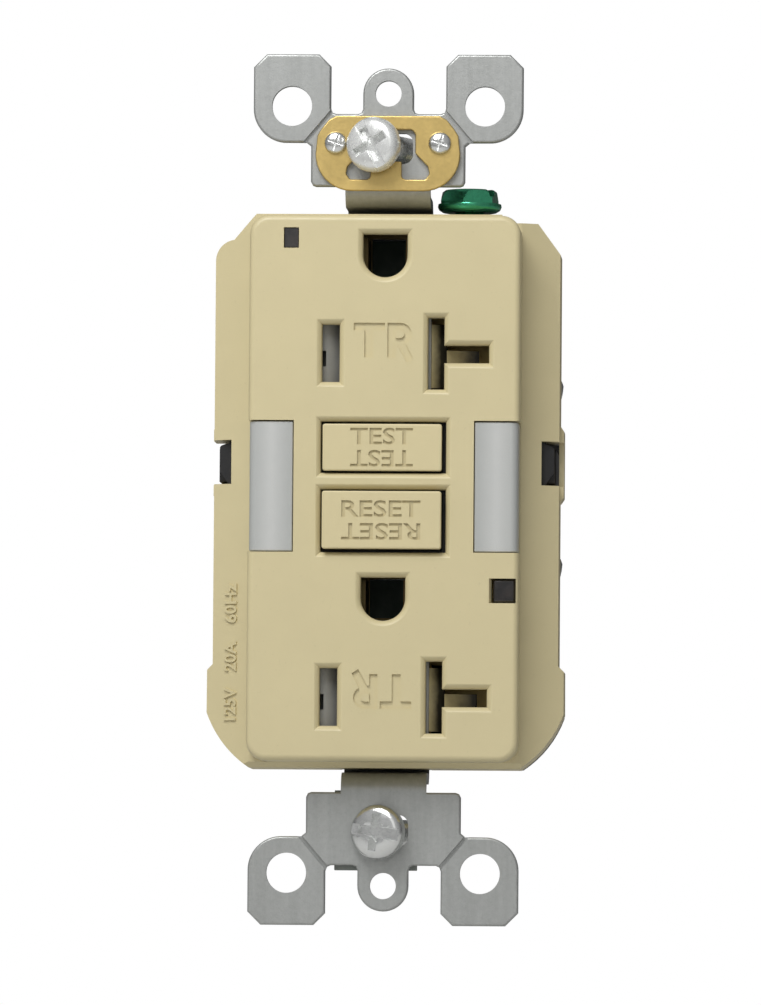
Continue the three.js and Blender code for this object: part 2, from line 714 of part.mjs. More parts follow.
// A terminal screw along -X, with the underside of its head at the origin.
function terminalScrew() {
  const whole = turned([
    [0, -2.2], [3.3, -2.1], [4, -1.2], [4, 0], [1.9, 0], [1.9, 6], [1.4, 6.6], [0, 6.6],
  ], 16);
  return cut(whole, ...combinationDrive(-2.2, 4, 1.2)).rotate([0, 0, 90]);
}

const assemblyScrew = () =>
  cut(
    turned([[0, 26.2], [1.9, 26.1], [2.4, 25.5], [2.4, 24.4], [1.3, 24.4], [1.3, 3], [0.3, 2], [0, 2]], 12),
    box(-0.3, 0.3, 25.2, 27, -1.3, 1.3),
    box(-1.3, 1.3, 25.2, 27, -0.3, 0.3),
  );

// The green ground screw along -Z: a tapering hexagon head on a round collar, slotted across.
function groundScrew() {
  const cone = new THREE.LatheGeometry(
    [[0, 0], [3.9, 0], [3.9, 0.5], [3.2, 2.75], [0, 2.85]].map(([r, y]) => new THREE.Vector2(r, y)),
    24,
  ).rotateX(Math.PI / 2);
  const hexagon = new THREE.CylinderGeometry(3.7, 3.7, 2.6, 6).rotateX(Math.PI / 2);
  const head = join(
    solid(cone).intersect(solid(hexagon.rotateZ(0.35).translate(0, 0, 1.8))),
    rodZ(0, 0, 3.88, 0, 0.6, 24),
  );
  const shank = rodZ(0, 0, 1.95, -5.1, 0.2, 18);
  const slot = new THREE.BoxGeometry(10, 1.2, 2).rotateZ(-0.6).translate(0, 0, 3);
  return cut(join(head, shank), solid(slot));
}

// ---- Terminals ---------------------------------------------------------------------------------
const TERMINAL = { plate: 15.1, clamp: 17.2, head: 18.7 };

const terminalPlate = (sign, z) =>
  cut(
    sideBox(sign, TERMINAL.plate, TERMINAL.plate + 1, 9.3, 22.2, z - 5.2, z + 5.2),
    rodX(TERMINAL_Y, z, 2.05, -20, 20, 18),
  );

// The clamp plate under a terminal screw, ribbed on its inner face to bite the wire.
const clampPlate = (sign, z) =>
  cut(
    sideBox(sign, TERMINAL.clamp, TERMINAL.clamp + 1.2, 10.4, 19.6, z - 4.6, z + 4.6),
    rodX(TERMINAL_Y, z, 2.1, -20, 20, 18),
    ...[-3.4, 3.4].map((offset) =>
      sideBox(sign, TERMINAL.clamp - 1, TERMINAL.clamp + 0.35, 10, 20, z + offset - 0.5, z + offset + 0.5),
    ),
  );

// ---- Board, sensors and solenoid ---------------------------------------------------------------
// The board with its soldered parts: varistor, capacitor, chip, thyristor and contact pads.
function circuitBoard() {
  const board = box(-13.2, 13.2, BOARD_FRONT, BOARD_BACK, -31.2, 31.2);
  const parts = [
    rodY(0, 18, 2.6, BOARD_BACK - 0.2, 21.4, 18),
    rodZ(-6, 14.6, 3.4, 27.4, 29.8, 18),
    rodY(6.5, 28, 2.5, BOARD_BACK - 0.2, 20, 18),
    box(-12.4, -6.4, BOARD_BACK - 0.2, 12.7, -16, -9.6),
    box(7, 11.8, BOARD_BACK - 0.2, 16.5, -20, -17.6),
    rodY(-8.2, -4.6, 1.3, BOARD_BACK - 0.2, 11.85, 12),
    rodY(8.2, -4.6, 1.3, BOARD_BACK - 0.2, 11.85, 12),
  ];
  const corners = [-1, 1].flatMap((sx) =>
    [-1, 1].map((sz) => rodY(sx * CORNER_SCREW.x, sz * CORNER_SCREW.z, 3.3, 9, 12, 16)),
  );
  return cut(join(board, ...parts), ...corners, rodY(0, PIN_Z, 1.3, 9, 12, 14));
}

const ring = (y0, y1) => cut(rodY(0, 18, 6.6, y0, y1, 24), rodY(0, 18, 2.9, y0 - 1, y1 + 1, 16));

const coilBobbin = () =>
  cut(
    join(
      rodZ(0, COIL.y, 3, COIL.z0, COIL.z1),
      rodZ(0, COIL.y, 5.3, COIL.z0, COIL.z0 + 0.9),
      rodZ(0, COIL.y, 5.3, COIL.z1 - 0.9, COIL.z1),
      box(-4, 4, BOARD_BACK + 0.1, COIL.y - 3, COIL.z0, COIL.z0 + 0.9),
      box(-4, 4, BOARD_BACK + 0.1, COIL.y - 3, COIL.z1 - 0.9, COIL.z1),
    ),
    rodZ(0, COIL.y, 2.4, COIL.z0 - 1, COIL.z1 + 1),
  );

const coilWinding = () =>
  cut(
    rodZ(0, COIL.y, 4.9, COIL.z0 + 1.1, COIL.z1 - 1.1),
    rodZ(0, COIL.y, 3.15, COIL.z0, COIL.z1),
  );

const plunger = () =>
  join(
    rodZ(0, COIL.y, 2.2, -30, -11.4),
    rodZ(0, COIL.y, 1, -12, -9.9, 12),
    rodZ(0, COIL.y, 3.4, -30.8, -29.9),
  );

// ---- Latch, lifter and moving contacts ---------------------------------------------------------
const LIFTER_FRONT = 15.1;

const latch = () =>
  cut(
    join(box(-2.6, 2.6, 18.8, 19.5, -9.6, -1), box(-2.6, 2.6, 15.6, 19.5, -9.6, -9)),
    box(-1.3, 1.3, 18, 20, -7.2, -2.6),
  );

const lifter = () =>
  cut(
    join(
      box(-4, 4, LIFTER_FRONT, 18.5, -6.6, -1),
      box(-10.4, 10.4, LIFTER_FRONT, 16.6, -6.4, -2.6),
    ),
    rodY(0, PIN_Z, 1.4, 14, 20, 16),
  );

const ARM = { inner: 6.6, outer: 9.8, front: 14.3, back: 14.9, pivotZ: 8.4 };

const contactArm = (sign) =>
  join(
    sideBox(sign, ARM.inner, ARM.outer, ARM.front, ARM.back, -6.2, ARM.pivotZ),
    rodY(sign * 8.2, -4.6, 1.2, 13.7, 14.5, 12),
  );

// ---- Back body ---------------------------------------------------------------------------------
// The black shell behind the cover: terminal bays at the sides, screw bosses at the corners, wire
// holes at the back, and a catch that stands up in each side notch of the cover.
function backBody() {
  const shell = cut(
    plateXZ(flangeOutline(0.6), BODY_FRONT, BODY_BACK),
    plateXZ(flangeOutline(2.2), BODY_FRONT - 1, BODY_FLOOR),
  );
  const added = [];
  const removed = [box(-9, 9, BODY_BACK - 0.4, BODY_BACK + 1, -9, 9)];
  for (const sx of [-1, 1]) {
    added.push(sideBox(sx, 19.1, 20.5, 1.8, BODY_FRONT + 2, 0.95, 4.9));
    added.push(sideBox(sx, 18.8, 20.5, BODY_FRONT, 24, -4.6, 4.9));
    for (const sz of [-1, 1]) {
      const bay = (grow) => [sz * TERMINAL_Z - 5.6 - grow, sz * TERMINAL_Z + 5.6 + grow];
      added.push(sideBox(sx, 13.5, 20.5, BODY_FRONT, BODY_BACK, ...bay(1)));
      added.push(rodY(sx * CORNER_SCREW.x, sz * CORNER_SCREW.z, 2.9, BODY_FRONT, BODY_BACK, 16));
      removed.push(sideBox(sx, 14.8, 23, BODY_FRONT - 1, 22.6, ...bay(0)));
      removed.push(rodX(TERMINAL_Y, sz * TERMINAL_Z, 2.3, sx > 0 ? 13 : -16, sx > 0 ? 16 : -13, 16));
      removed.push(rodY(sx * CORNER_SCREW.x, sz * CORNER_SCREW.z, 1.5, 7, 28, 12));
      removed.push(rodY(sx * CORNER_SCREW.x, sz * CORNER_SCREW.z, 2.65, 24.2, 28, 16));
      for (const offset of [-3, 3]) {
        removed.push(rodY(sx * 16.65, sz * TERMINAL_Z + offset, 1.45, 22, 28, 12));
      }
    }
  }
  const neckRoom = [-1, 1].map((sign) =>
    box(-5.5, 5.5, 8, 8.8, Math.min(sign * 31, sign * 35), Math.max(sign * 31, sign * 35)),
  );
  return cut(join(shell, ...added), ...removed, ...neckRoom);
}

// ---- Putting it together -----------------------------------------------------------------------
place("front_cover", frontCover(), IVORY);
place("back_body", backBody(), BLACK_PLASTIC);
place("test_button", testButton(), IVORY);
place("reset_button", resetButton(), IVORY);
place("reset_pin", resetPin(), ZINC);
place("status_light_pipe", statusPipe(), SMOKED);
place("light_sensor_window", sensorWindow(), SMOKED);
for (const [side, sign] of [["left", -1], ["right", 1]]) {
  place(`guide_lens_${side}`, guideLens(sign), FROSTED);
  place(`guide_led_${side}`, guideLed(sign), GREY_PLASTIC);
  place(`clip_rivet_${side}`, clipRivet(), ZINC, [sign * RIVET.x, 0, RIVET.z]);
}
place("test_spring", solid(springGeometry(1.7, 0.2, 5.8, 5)), SPRING_STEEL, [0, -3.1, TEST.z]);
place("reset_spring", solid(springGeometry(1.7, 0.25, 5.8, 5)), SPRING_STEEL, [0, -3.1, PIN_Z]);

for (const [level, z] of Object.entries(RECEPTACLES)) {
  place(`shutter_${level}`, shutter(), GREY_PLASTIC, [0, 0, z]);
  place(`shutter_frame_${level}`, shutterFrame(), IVORY, [0, 0, z]);
  const spring = solid(springGeometry(0.75, 0.13, 3.5, 4));
  place(`shutter_spring_${level}`, spring, SPRING_STEEL, [-8.8, -4.05, z], [0, 0, Math.PI / 2]);
  place(`ground_contact_${level}`, groundContact(z + GROUND_RISE), BRASS);
}
place("contact_carrier", contactCarrier(), BLACK_PLASTIC);
place("hot_contact_strip", contactStrip(-1), BRASS);
place("neutral_contact_strip", contactStrip(1), BRASS);

place("mounting_strap", mountingStrap(), GALVANISED);
place("self_ground_clip", groundClip(), BRASS);
place("ground_screw", groundScrew(), GREEN_ZINC, [GROUND_SCREW.x, GROUND_SCREW.y, GROUND_SCREW.z]);

// The captive device-box screws hang loose in their slots, so their heads lean to the left.
const LEAN = { top: 0.35, bottom: 0.31 };
const MOUNT_HEAD = { top: [-1.15, -3.65, BOX_SCREW_Z], bottom: [-0.1, -2.5, -BOX_SCREW_Z] };
for (const end of ["top", "bottom"]) {
  place(`mount_screw_${end}`, mountScrew(), ZINC, MOUNT_HEAD[end], [0, 0, -LEAN[end]]);
}
const retainer = (x0, x1, z0, z1) =>
  cut(
    box(x0, x1, 0.15, 0.95, z0, z1),
    box(-2.2, 3.1, -1, 2, Math.sign(z0) * BOX_SCREW_Z - 1.95, Math.sign(z0) * BOX_SCREW_Z + 1.95),
  );
place("screw_retainer_top", retainer(-4.7, 4.7, 37.4, 45.4), FIBRE);
place("screw_retainer_bottom", retainer(-6, 4.1, -46.5, -36.75), FIBRE);

for (const [line, sz] of [["line", -1], ["load", 1]]) {
  for (const [pole, sx] of [["hot", -1], ["neutral", 1]]) {
    const metal = pole === "hot" ? BRASS : ZINC;
    const z = sz * TERMINAL_Z;
    place(`terminal_plate_${line}_${pole}`, terminalPlate(sx, z), BRASS);
    place(`clamp_plate_${line}_${pole}`, clampPlate(sx, z), metal);
    const turn = [0, 0, sx > 0 ? 0 : Math.PI];
    place(`terminal_screw_${line}_${pole}`, terminalScrew(), metal, [sx * TERMINAL.head, TERMINAL_Y, z], turn);
  }
}
for (const [index, [sx, sz]] of [[-1, 1], [1, 1], [-1, -1], [1, -1]].entries()) {
  place(`assembly_screw_${index + 1}`, assemblyScrew(), ZINC, [sx * CORNER_SCREW.x, 0, sz * CORNER_SCREW.z]);
}

place("circuit_board", circuitBoard(), BOARD_GREEN);
place("differential_core", ring(12.2, 16), FERRITE);
place("neutral_core", ring(16.6, 20.4), FERRITE);
place("coil_bobbin", coilBobbin(), BLACK_PLASTIC);
place("coil_winding", coilWinding(), COPPER);
place("plunger", plunger(), ZINC);
place("plunger_spring", solid(springGeometry(2.75, 0.22, 2.7, 3)), SPRING_STEEL, [0, COIL.y, -29.8], [Math.PI / 2, 0, 0]);
place("latch", latch(), ZINC);
place("lifter", lifter(), GREY_PLASTIC);
place("contact_arm_hot", contactArm(-1), BRASS);
place("contact_arm_neutral", contactArm(1), BRASS);

export default outlet;
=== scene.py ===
"""A GFCI outlet: a duplex receptacle with test and reset buttons and guide lights, dressed piece by piece."""
import json
import math

import bmesh
import bpy
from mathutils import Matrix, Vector

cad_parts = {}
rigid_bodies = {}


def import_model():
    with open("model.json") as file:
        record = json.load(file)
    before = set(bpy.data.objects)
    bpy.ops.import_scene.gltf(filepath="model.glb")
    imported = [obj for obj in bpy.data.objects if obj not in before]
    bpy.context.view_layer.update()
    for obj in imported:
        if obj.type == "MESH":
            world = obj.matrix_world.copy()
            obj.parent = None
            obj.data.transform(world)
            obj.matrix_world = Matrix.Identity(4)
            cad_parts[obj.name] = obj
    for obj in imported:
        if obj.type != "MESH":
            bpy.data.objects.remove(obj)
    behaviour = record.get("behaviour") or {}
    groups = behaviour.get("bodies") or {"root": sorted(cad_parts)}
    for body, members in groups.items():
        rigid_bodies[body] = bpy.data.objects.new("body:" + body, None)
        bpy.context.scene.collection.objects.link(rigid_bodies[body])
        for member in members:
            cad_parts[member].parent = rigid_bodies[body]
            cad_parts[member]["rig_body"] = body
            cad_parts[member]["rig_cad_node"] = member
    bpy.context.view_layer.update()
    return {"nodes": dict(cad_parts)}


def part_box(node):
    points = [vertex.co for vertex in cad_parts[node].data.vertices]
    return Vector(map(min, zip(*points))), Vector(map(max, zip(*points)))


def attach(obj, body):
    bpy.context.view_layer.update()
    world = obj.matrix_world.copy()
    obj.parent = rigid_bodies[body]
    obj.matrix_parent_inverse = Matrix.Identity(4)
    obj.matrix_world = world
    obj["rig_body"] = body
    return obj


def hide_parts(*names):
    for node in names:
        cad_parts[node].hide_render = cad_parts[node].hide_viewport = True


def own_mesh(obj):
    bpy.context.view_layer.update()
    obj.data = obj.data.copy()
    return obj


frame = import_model()
MM = 0.001

# ---- Front cover -------------------------------------------------------------------------------
# One ivory thermoplastic moulding: the flat face that fills the wall plate's window, the shoulders
# that slope away round it, and the skirt that meets the back body. Slots, pin holes and button
# pockets have sloping lead-ins. Four screws from behind pull it onto the back body.


class Wire:
    """An output of a shader node, which takes part in sums and products."""

    def __init__(self, finish, socket):
        self.finish = finish
        self.socket = socket

    def __getitem__(self, name):
        return Wire(self.finish, self.socket.node.outputs[name])

    def _sum(self, operation, first, second):
        return self.finish.node("Math", {"operation": operation}, {0: first, 1: second})

    def __add__(self, other):
        return self._sum("ADD", self, other)

    def __sub__(self, other):
        return self._sum("SUBTRACT", self, other)

    def __mul__(self, other):
        return self._sum("MULTIPLY", self, other)

    def __rsub__(self, other):
        return self._sum("SUBTRACT", other, self)

    __radd__ = __add__
    __rmul__ = __mul__


class Finish:
    """A material whose surface is one Principled shader, and the nodes that feed it."""

    def __init__(self, name, **sockets):
        self.material = bpy.data.materials.new(name)
        self.material.use_nodes = True
        self.tree = self.material.node_tree
        self.surface = self.tree.nodes["Principled BSDF"]
        self.put(**sockets)

    def node(self, kind, settings=None, inputs=None):
        made = self.tree.nodes.new("ShaderNode" + kind)
        settings = dict(settings or {})
        stops = settings.pop("stops", None)
        for key, value in settings.items():
            setattr(made, key, value)
        if stops:
            ramp = made.color_ramp.elements
            while len(ramp) < len(stops):
                ramp.new(0.5)
            for stop, (place, shade) in zip(ramp, stops):
                stop.position = place
                stop.color = (*shade, 1) if isinstance(shade, tuple) else (shade, shade, shade, 1)
        for key, value in (inputs or {}).items():
            self.connect(made.inputs[key], value)
        return Wire(self, next(s for s in made.outputs if s.enabled))

    def connect(self, socket, value):
        if isinstance(value, Wire):
            self.tree.links.new(value.socket, socket)
        elif isinstance(value, tuple) and len(value) == 3 and socket.type == "RGBA":
            socket.default_value = (*value, 1)
        else:
            socket.default_value = value

    def put(self, **sockets):
        for key, value in sockets.items():
            self.connect(self.surface.inputs[key.replace("_", " ")], value)
        return self

    def place(self):
        return self.node("TexCoord")["Object"]

    def noise(self, scale, detail=3, roughness=0.5, at=None):
        settings = {"Scale": scale, "Detail": detail, "Roughness": roughness}
        return self.node("TexNoise", None, {"Vector": at or self.place(), **settings})

    def blend(self, amount, first, second):
        inputs = {"Factor": amount, "A": first, "B": second}
        mix = self.tree.nodes.new("ShaderNodeMix")
        mix.data_type = "RGBA"
        for key, value in inputs.items():
            wanted = "VALUE" if key == "Factor" else "RGBA"
            self.connect(next(s for s in mix.inputs if s.name == key and s.type == wanted), value)
        return Wire(self, next(s for s in mix.outputs if s.type == "RGBA"))

    def ramp(self, value, low, high, first=0.0, second=1.0):
        inputs = {"Value": value, "From Min": low, "From Max": high, "To Min": first, "To Max": second}
        return self.node("MapRange", {"clamp": True}, inputs)

    def bump(self, height, distance, strength=1.0):
        self.put(Normal=self.node("Bump", None, {"Height": height, "Distance": distance, "Strength": strength}))
        return self


# Moulded plastic: a faint cloudiness in the colour, and the fine spark-eroded grain of the mould.
# In what is sunk the colour falls, from one depth to another, to a share of itself: painted shade.
def moulded(name, shade, roughness, clouding=0.012, grain=0.000012, sunk=()):
    finish = Finish(name)
    clouds = finish.noise(140, 4)
    darker = tuple(c * (1 - clouding * 2) for c in shade)
    lighter = tuple(min(1, c * (1 + clouding)) for c in shade)
    specks = finish.ramp(finish.noise(2600, 1), 0.70, 0.78)
    clouded = finish.blend(finish.ramp(clouds, 0.3, 0.7), darker, lighter)
    tone = finish.blend(specks * 0.10, clouded, tuple(c * 0.55 for c in shade))
    # Each sunk range darkens the colour: painted shade.
    for start, end, share in sunk:
        depth = finish.node("SeparateXYZ", None, {"Vector": finish.place()})["Y"]
        painted_shade = tuple(c * share for c in shade)
        tone = finish.blend(finish.ramp(depth, start * MM, end * MM), tone, painted_shade)
    finish.put(Base_Color=tone)
    finish.put(Roughness=finish.ramp(finish.noise(900, 2), 0.3, 0.7, roughness - 0.05, roughness + 0.07))
    finish.bump(finish.noise(5200, 2) * 0.7 + finish.noise(1500, 2) * 0.3, grain)
    return finish.material


ivory = moulded("ivory_plastic", (0.625, 0.545, 0.322), 0.40)


def only(piece):
    """Selects this piece and nothing else."""
    if bpy.context.object and bpy.context.object.mode != "OBJECT":
        bpy.ops.object.mode_set(mode="OBJECT")
    for other in bpy.context.selected_objects:
        other.select_set(False)
    piece.select_set(True)
    bpy.context.view_layer.objects.active = piece


def fixed(piece):
    """Leaves the piece at the origin, unturned, with its place in its mesh."""
    only(piece)
    bpy.ops.object.transform_apply(location=True, rotation=True, scale=True)
    return piece


def block(x0, x1, y0, y1, z0, z1):
    """A box from corner to corner, in millimetres."""
    middle = ((x0 + x1) / 2 * MM, (y0 + y1) / 2 * MM, (z0 + z1) / 2 * MM)
    sides = ((x1 - x0) * MM, (y1 - y0) * MM, (z1 - z0) * MM)
    bpy.ops.mesh.primitive_cube_add(size=1, location=middle, scale=sides)
    return fixed(bpy.context.object)


def rounded(corners, steps=5):
    """A closed outline's (a, b, radius) corners, each with a radius turned into an arc."""
    points = []
    for i, (a, b, radius) in enumerate(corners):
        if not radius:
            points.append((a, b))
            continue
        here = Vector((a, b))
        before = (Vector(corners[i - 1][:2]) - here).normalized()
        after = (Vector(corners[(i + 1) % len(corners)][:2]) - here).normalized()
        half = before.angle(after) / 2
        centre = here + (before + after).normalized() * radius / math.sin(half)
        start = (here + before * radius / math.tan(half) - centre).normalized()
        finish = (here + after * radius / math.tan(half) - centre).normalized()
        for k in range(steps + 1):
            points.append(tuple(centre + start.slerp(finish, k / steps) * radius))
    return points


def arc(a, b, radius, start, end, steps=12):
    """Points along an arc about (a, b), from start to end in degrees."""
    angles = [math.radians(start + (end - start) * k / steps) for k in range(steps + 1)]
    return [(a + radius * math.cos(t), b + radius * math.sin(t)) for t in angles]


def rectangle(a0, a1, b0, b1, radius=0.0, steps=5):
    corners = [(a1, b0, radius), (a1, b1, radius), (a0, b1, radius), (a0, b0, radius)]
    return rounded(corners, steps)


def extrude(offset):
    bpy.ops.mesh.extrude_region_move(TRANSFORM_OT_translate={"value": tuple(c * MM for c in offset)})


def drawn(points, start, end, along="y"):
    """A flat outline, filled, and drawn out along an axis; its points are the other two coordinates."""
    spot = {"x": lambda a, b: (start, a, b), "y": lambda a, b: (a, start, b), "z": lambda a, b: (a, b, start)}
    bpy.ops.mesh.primitive_circle_add(vertices=len(points), fill_type="NGON")
    piece = bpy.context.object
    for vertex, point in zip(piece.data.vertices, points):
        vertex.co = Vector(spot[along](*point)) * MM
    only(piece)
    bpy.ops.object.mode_set(mode="EDIT")
    bpy.ops.mesh.select_all(action="SELECT")
    extrude([end - start if axis == along else 0 for axis in "xyz"])
    tidy_faces()
    return piece


def tidy_faces():
    """Merges doubled corners and turns every face outwards, then leaves edit mode."""
    bpy.ops.mesh.select_all(action="SELECT")
    bpy.ops.mesh.remove_doubles(threshold=1e-7)
    bpy.ops.mesh.normals_make_consistent(inside=False)
    bpy.ops.object.mode_set(mode="OBJECT")


def choose(piece, kind, wanted):
    """Opens the piece for editing with only its wanted verts, edges or faces selected."""
    only(piece)
    bpy.ops.object.mode_set(mode="EDIT")
    bpy.ops.mesh.select_all(action="DESELECT")
    bpy.ops.mesh.select_mode(type={"verts": "VERT", "edges": "EDGE", "faces": "FACE"}[kind])
    mesh = bmesh.from_edit_mesh(piece.data)
    for element in getattr(mesh, kind):
        if wanted(element):
            element.select_set(True)
    mesh.select_flush_mode()
    bmesh.update_edit_mesh(piece.data)


def ease(piece, wanted, width, segments=4):
    """Rounds the wanted edges."""
    choose(piece, "edges", wanted)
    bpy.ops.mesh.bevel(offset=width * MM, segments=segments, affect="EDGES")
    bpy.ops.object.mode_set(mode="OBJECT")
    return piece


def at_y(y):
    """An edge whose two ends both lie at this depth."""
    return lambda edge: all(abs(v.co.y - y * MM) < 1e-6 for v in edge.verts)


def combine(piece, tools, operation):
    """Cuts the tools out of the piece, or joins them to it, and throws the tools away."""
    for tool in tools:
        only(piece)
        modifier = piece.modifiers.new("tool", "BOOLEAN")
        modifier.operation = operation
        modifier.solver = "EXACT"
        modifier.object = tool
        bpy.ops.object.modifier_apply(modifier=modifier.name)
        bpy.data.objects.remove(tool)
    return piece


def carve(piece, *tools):
    return combine(piece, tools, "DIFFERENCE")


def weld(piece, *tools):
    return combine(piece, tools, "UNION")


def finished(
    piece, name, body, finish, stands_for=(), width=0.12, segments=2, sharp=35, sunk=(), raised=()
):
    """Breaks the piece's sharp edges, adds any lettering, smooths what is round, and fixes the
    piece to its body."""
    choose(piece, "verts", lambda vertex: True)
    bpy.ops.mesh.dissolve_limited(angle_limit=math.radians(0.6))
    tidy_faces()
    if width:
        bevel = piece.modifiers.new("edges", "BEVEL")
        bevel.width = width * MM
        bevel.segments = segments
        bevel.limit_method = "ANGLE"
        bevel.angle_limit = math.radians(sharp)
        bevel.miter_outer = "MITER_ARC"
        bpy.ops.object.modifier_apply(modifier=bevel.name)
    carve(piece, *sunk)
    weld(piece, *raised)
    only(piece)
    bpy.ops.object.shade_smooth_by_angle(angle=math.radians(sharp))
    weighted = piece.modifiers.new("normals", "WEIGHTED_NORMAL")
    weighted.keep_sharp = True
    bpy.ops.object.modifier_apply(modifier=weighted.name)
    piece.name = piece.data.name = name
    piece.data.materials.clear()
    piece.data.materials.append(finish)
    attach(piece, body)
    if stands_for:
        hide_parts(*stands_for)
    return piece


face_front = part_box("front_cover")[0].y / MM
face_plate = 2.0
face_back = face_front + face_plate
shoulder = -1.4
slope = math.degrees(math.atan2(2.4, 4.6))
cover_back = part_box("front_cover")[1].y / MM


def skirt_line(inset):
    """The skirt's outline. The top right corner is cut back for the ground screw, and both lower
    corners swell out into wide arcs."""
    side, low = 21.1 - inset, 13.75 - inset
    line = [(14.0, 33.6 - inset), (-16.0 + 0.4 * inset, 33.6 - inset)]
    line += arc(-18.6, 28, 2.5 - inset, 94.5, 180, 8) + [(-side, -21.4), (-side - 0.7, -22.1)]
    line += arc(-8.9, -22.6, low, 200, 236.3, 12) + arc(8.9, -22.6, low, -56.3, -20, 12)
    line += [(side + 0.7, -22.1), (side, -21.4), (side, 28.9 - 0.4 * inset)]
    return line + [(18.4 - 0.5 * inset, 32.55 - inset), (14.2, 32.55 - inset)]


def slanted(piece, point, normal):
    """Cuts away all that lies on the normal's side of a slanting plane."""
    choose(piece, "verts", lambda vertex: True)
    bpy.ops.mesh.bisect(
        plane_co=tuple(c * MM for c in point), plane_no=normal, clear_outer=True, use_fill=True
    )
    tidy_faces()
    return piece


skirt = drawn(skirt_line(0), shoulder, cover_back)
lean = math.radians(slope)
slanted(skirt, (16.5, shoulder, 0), (math.sin(lean), -math.cos(lean), 0))
slanted(skirt, (-16.5, shoulder, 0), (-math.sin(lean), -math.cos(lean), 0))
slanted(skirt, (0, shoulder, -33.35), (0, -0.7071, -0.7071))

cover = drawn(rectangle(-16.5, 16.5, -33.35, 33.05, 2.4, 9), 3.0, face_front)
ease(cover, at_y(face_front), 0.75, 6)
weld(cover, skirt)
for side, out in ((-1, 21.3), (1, 21.6)):
    pad = [(19.8, 8.0), (out - 0.4, 8.0), (out, 7.4), (out, -0.7), (out - 0.4, -1.3), (19.8, -1.3)]
    weld(cover, drawn([(side * x, z) for x, z in pad], 3.2, cover_back))
carve(
    cover,
    drawn(rectangle(-14.9, 14.9, -31.75, 31.8, 0.8), face_back, cover_back + 1),
    drawn(skirt_line(1.7), 2.6, cover_back + 1),
)
SCREW_BOSSES = [(x, z) for x in (-16.2, 16.2) for z in (29.2, -29.2)]


def rod(x, y, z, radius, length, along="y", sides=32):
    """A round bar that starts at (x, y, z) and runs along an axis."""
    turn = {"y": (-math.pi / 2, 0, 0), "x": (0, math.pi / 2, 0), "z": (0, 0, 0)}[along]
    middle = Vector((x, y, z)) + Vector({"x": (1, 0, 0), "y": (0, 1, 0), "z": (0, 0, 1)}[along]) * length / 2
    bpy.ops.mesh.primitive_cylinder_add(
        vertices=sides, radius=radius * MM, depth=length * MM, location=middle * MM, rotation=turn
    )
    return fixed(bpy.context.object)


weld(cover, *[rod(x, 1, z, 2.3, cover_back - 1) for x, z in SCREW_BOSSES])
carve(cover, *[rod(x, 1.7, z, 1.45, 9) for x, z in SCREW_BOSSES])


def lead_in(points):
    """A cutter for an opening in the face: its outline at the surface, drawn in as it goes deeper."""
    piece = drawn(points, face_front - 1, face_front)
    choose(piece, "faces", lambda face: face.normal.y > 0.9)
    for inwards, deeper in ((0.12, 0.03), (0.16, 0.09), (0.32, 0.28), (0.12, 0.30)):
        bpy.ops.mesh.inset(thickness=inwards * MM, depth=deeper * MM)
    extrude((0, 6, 0))
    tidy_faces()
    return piece


RECEPTACLES = {"upper": 16.27, "lower": -25.53}
for z in RECEPTACLES.values():
    pin = z + 11.92
    carve(
        cover,
        lead_in(rectangle(-8.34, -4.76, z - 4.28, z + 4.18)),
        lead_in([(4.56, z - 5.15), (7.98, z - 5.15), (7.98, z - 1.93), (13.42, z - 1.93), (13.42, z + 1.68),
                 (7.98, z + 1.68), (7.98, z + 5.03), (4.56, z + 5.03)]),
        lead_in([(3.42, pin + 3.3), (-3.42, pin + 3.3)] + arc(0, pin, 3.42, 180, 360, 32)),
    )
POCKETS = {"test": (0.93, 8.60), "reset": (-8.72, 0.35)}
for low, high in POCKETS.values():
    carve(cover, lead_in(rectangle(-8.36, 8.26, low, high)))
carve(
    cover,
    block(-17.5, -10.95, face_front - 1, shoulder - 0.1, -8.0, 8.02),
    block(10.95, 17.5, face_front - 1, shoulder - 0.1, -8.0, 8.02),
    block(-12.34, -10.5, face_front - 1, face_back + 1, 29.0, 31.5),
    block(13.2, 16.15, face_front - 1, -2.8, -14.12, -11.12),
    drawn([(12.85, face_front - 0.1), (13.3, -6.3), (13.3, face_front - 0.1)], -14.12, -11.12, "z"),
    block(-23, -18.95, -3, cover_back + 1, 0.6, 6.0),
    block(18.95, 21.0, -3, cover_back + 1, 0.6, 6.0),
    block(20.9, 23, -3, 4.4, 0.6, 6.0),
    block(-5.5, 5.5, 6.2, cover_back + 1, 31.4, 36),
    block(-5.5, 5.5, 6.2, cover_back + 1, -36, -31.4),
    block(5.3, 14.2, 2.2, cover_back + 1, 31.5, 36),
)


def lettering(words, width, height, place, turn=0.0, lean=0.0, depth=0.15, weight=0.0):
    """Plain block letters facing forwards, of that width and height about a place, turned in the
    face's plane and leant about the upright axis. They reach depth mm each way."""
    bpy.ops.object.text_add()
    text = bpy.context.object
    text.data.body = words
    text.data.offset = weight
    text.data.resolution_u = 3
    only(text)
    bpy.ops.object.convert(target="MESH")
    piece = bpy.context.object
    bpy.ops.object.origin_set(type="ORIGIN_GEOMETRY", center="BOUNDS")
    piece.location = (0, 0, 0)
    across, up, _ = piece.dimensions
    piece.scale = (width * MM / across, height * MM / up, 1)
    fixed(piece)
    choose(piece, "verts", lambda vertex: True)
    bpy.ops.mesh.remove_doubles(threshold=1e-6)
    bpy.ops.mesh.select_all(action="SELECT")
    bpy.ops.transform.translate(value=(0, 0, -depth * MM))
    bpy.ops.mesh.extrude_region_move(TRANSFORM_OT_translate={"value": (0, 0, 2 * depth * MM)})
    tidy_faces()
    piece.rotation_euler = (math.pi / 2, math.radians(turn), math.radians(lean))
    piece.location = Vector(place) * MM
    return fixed(piece)


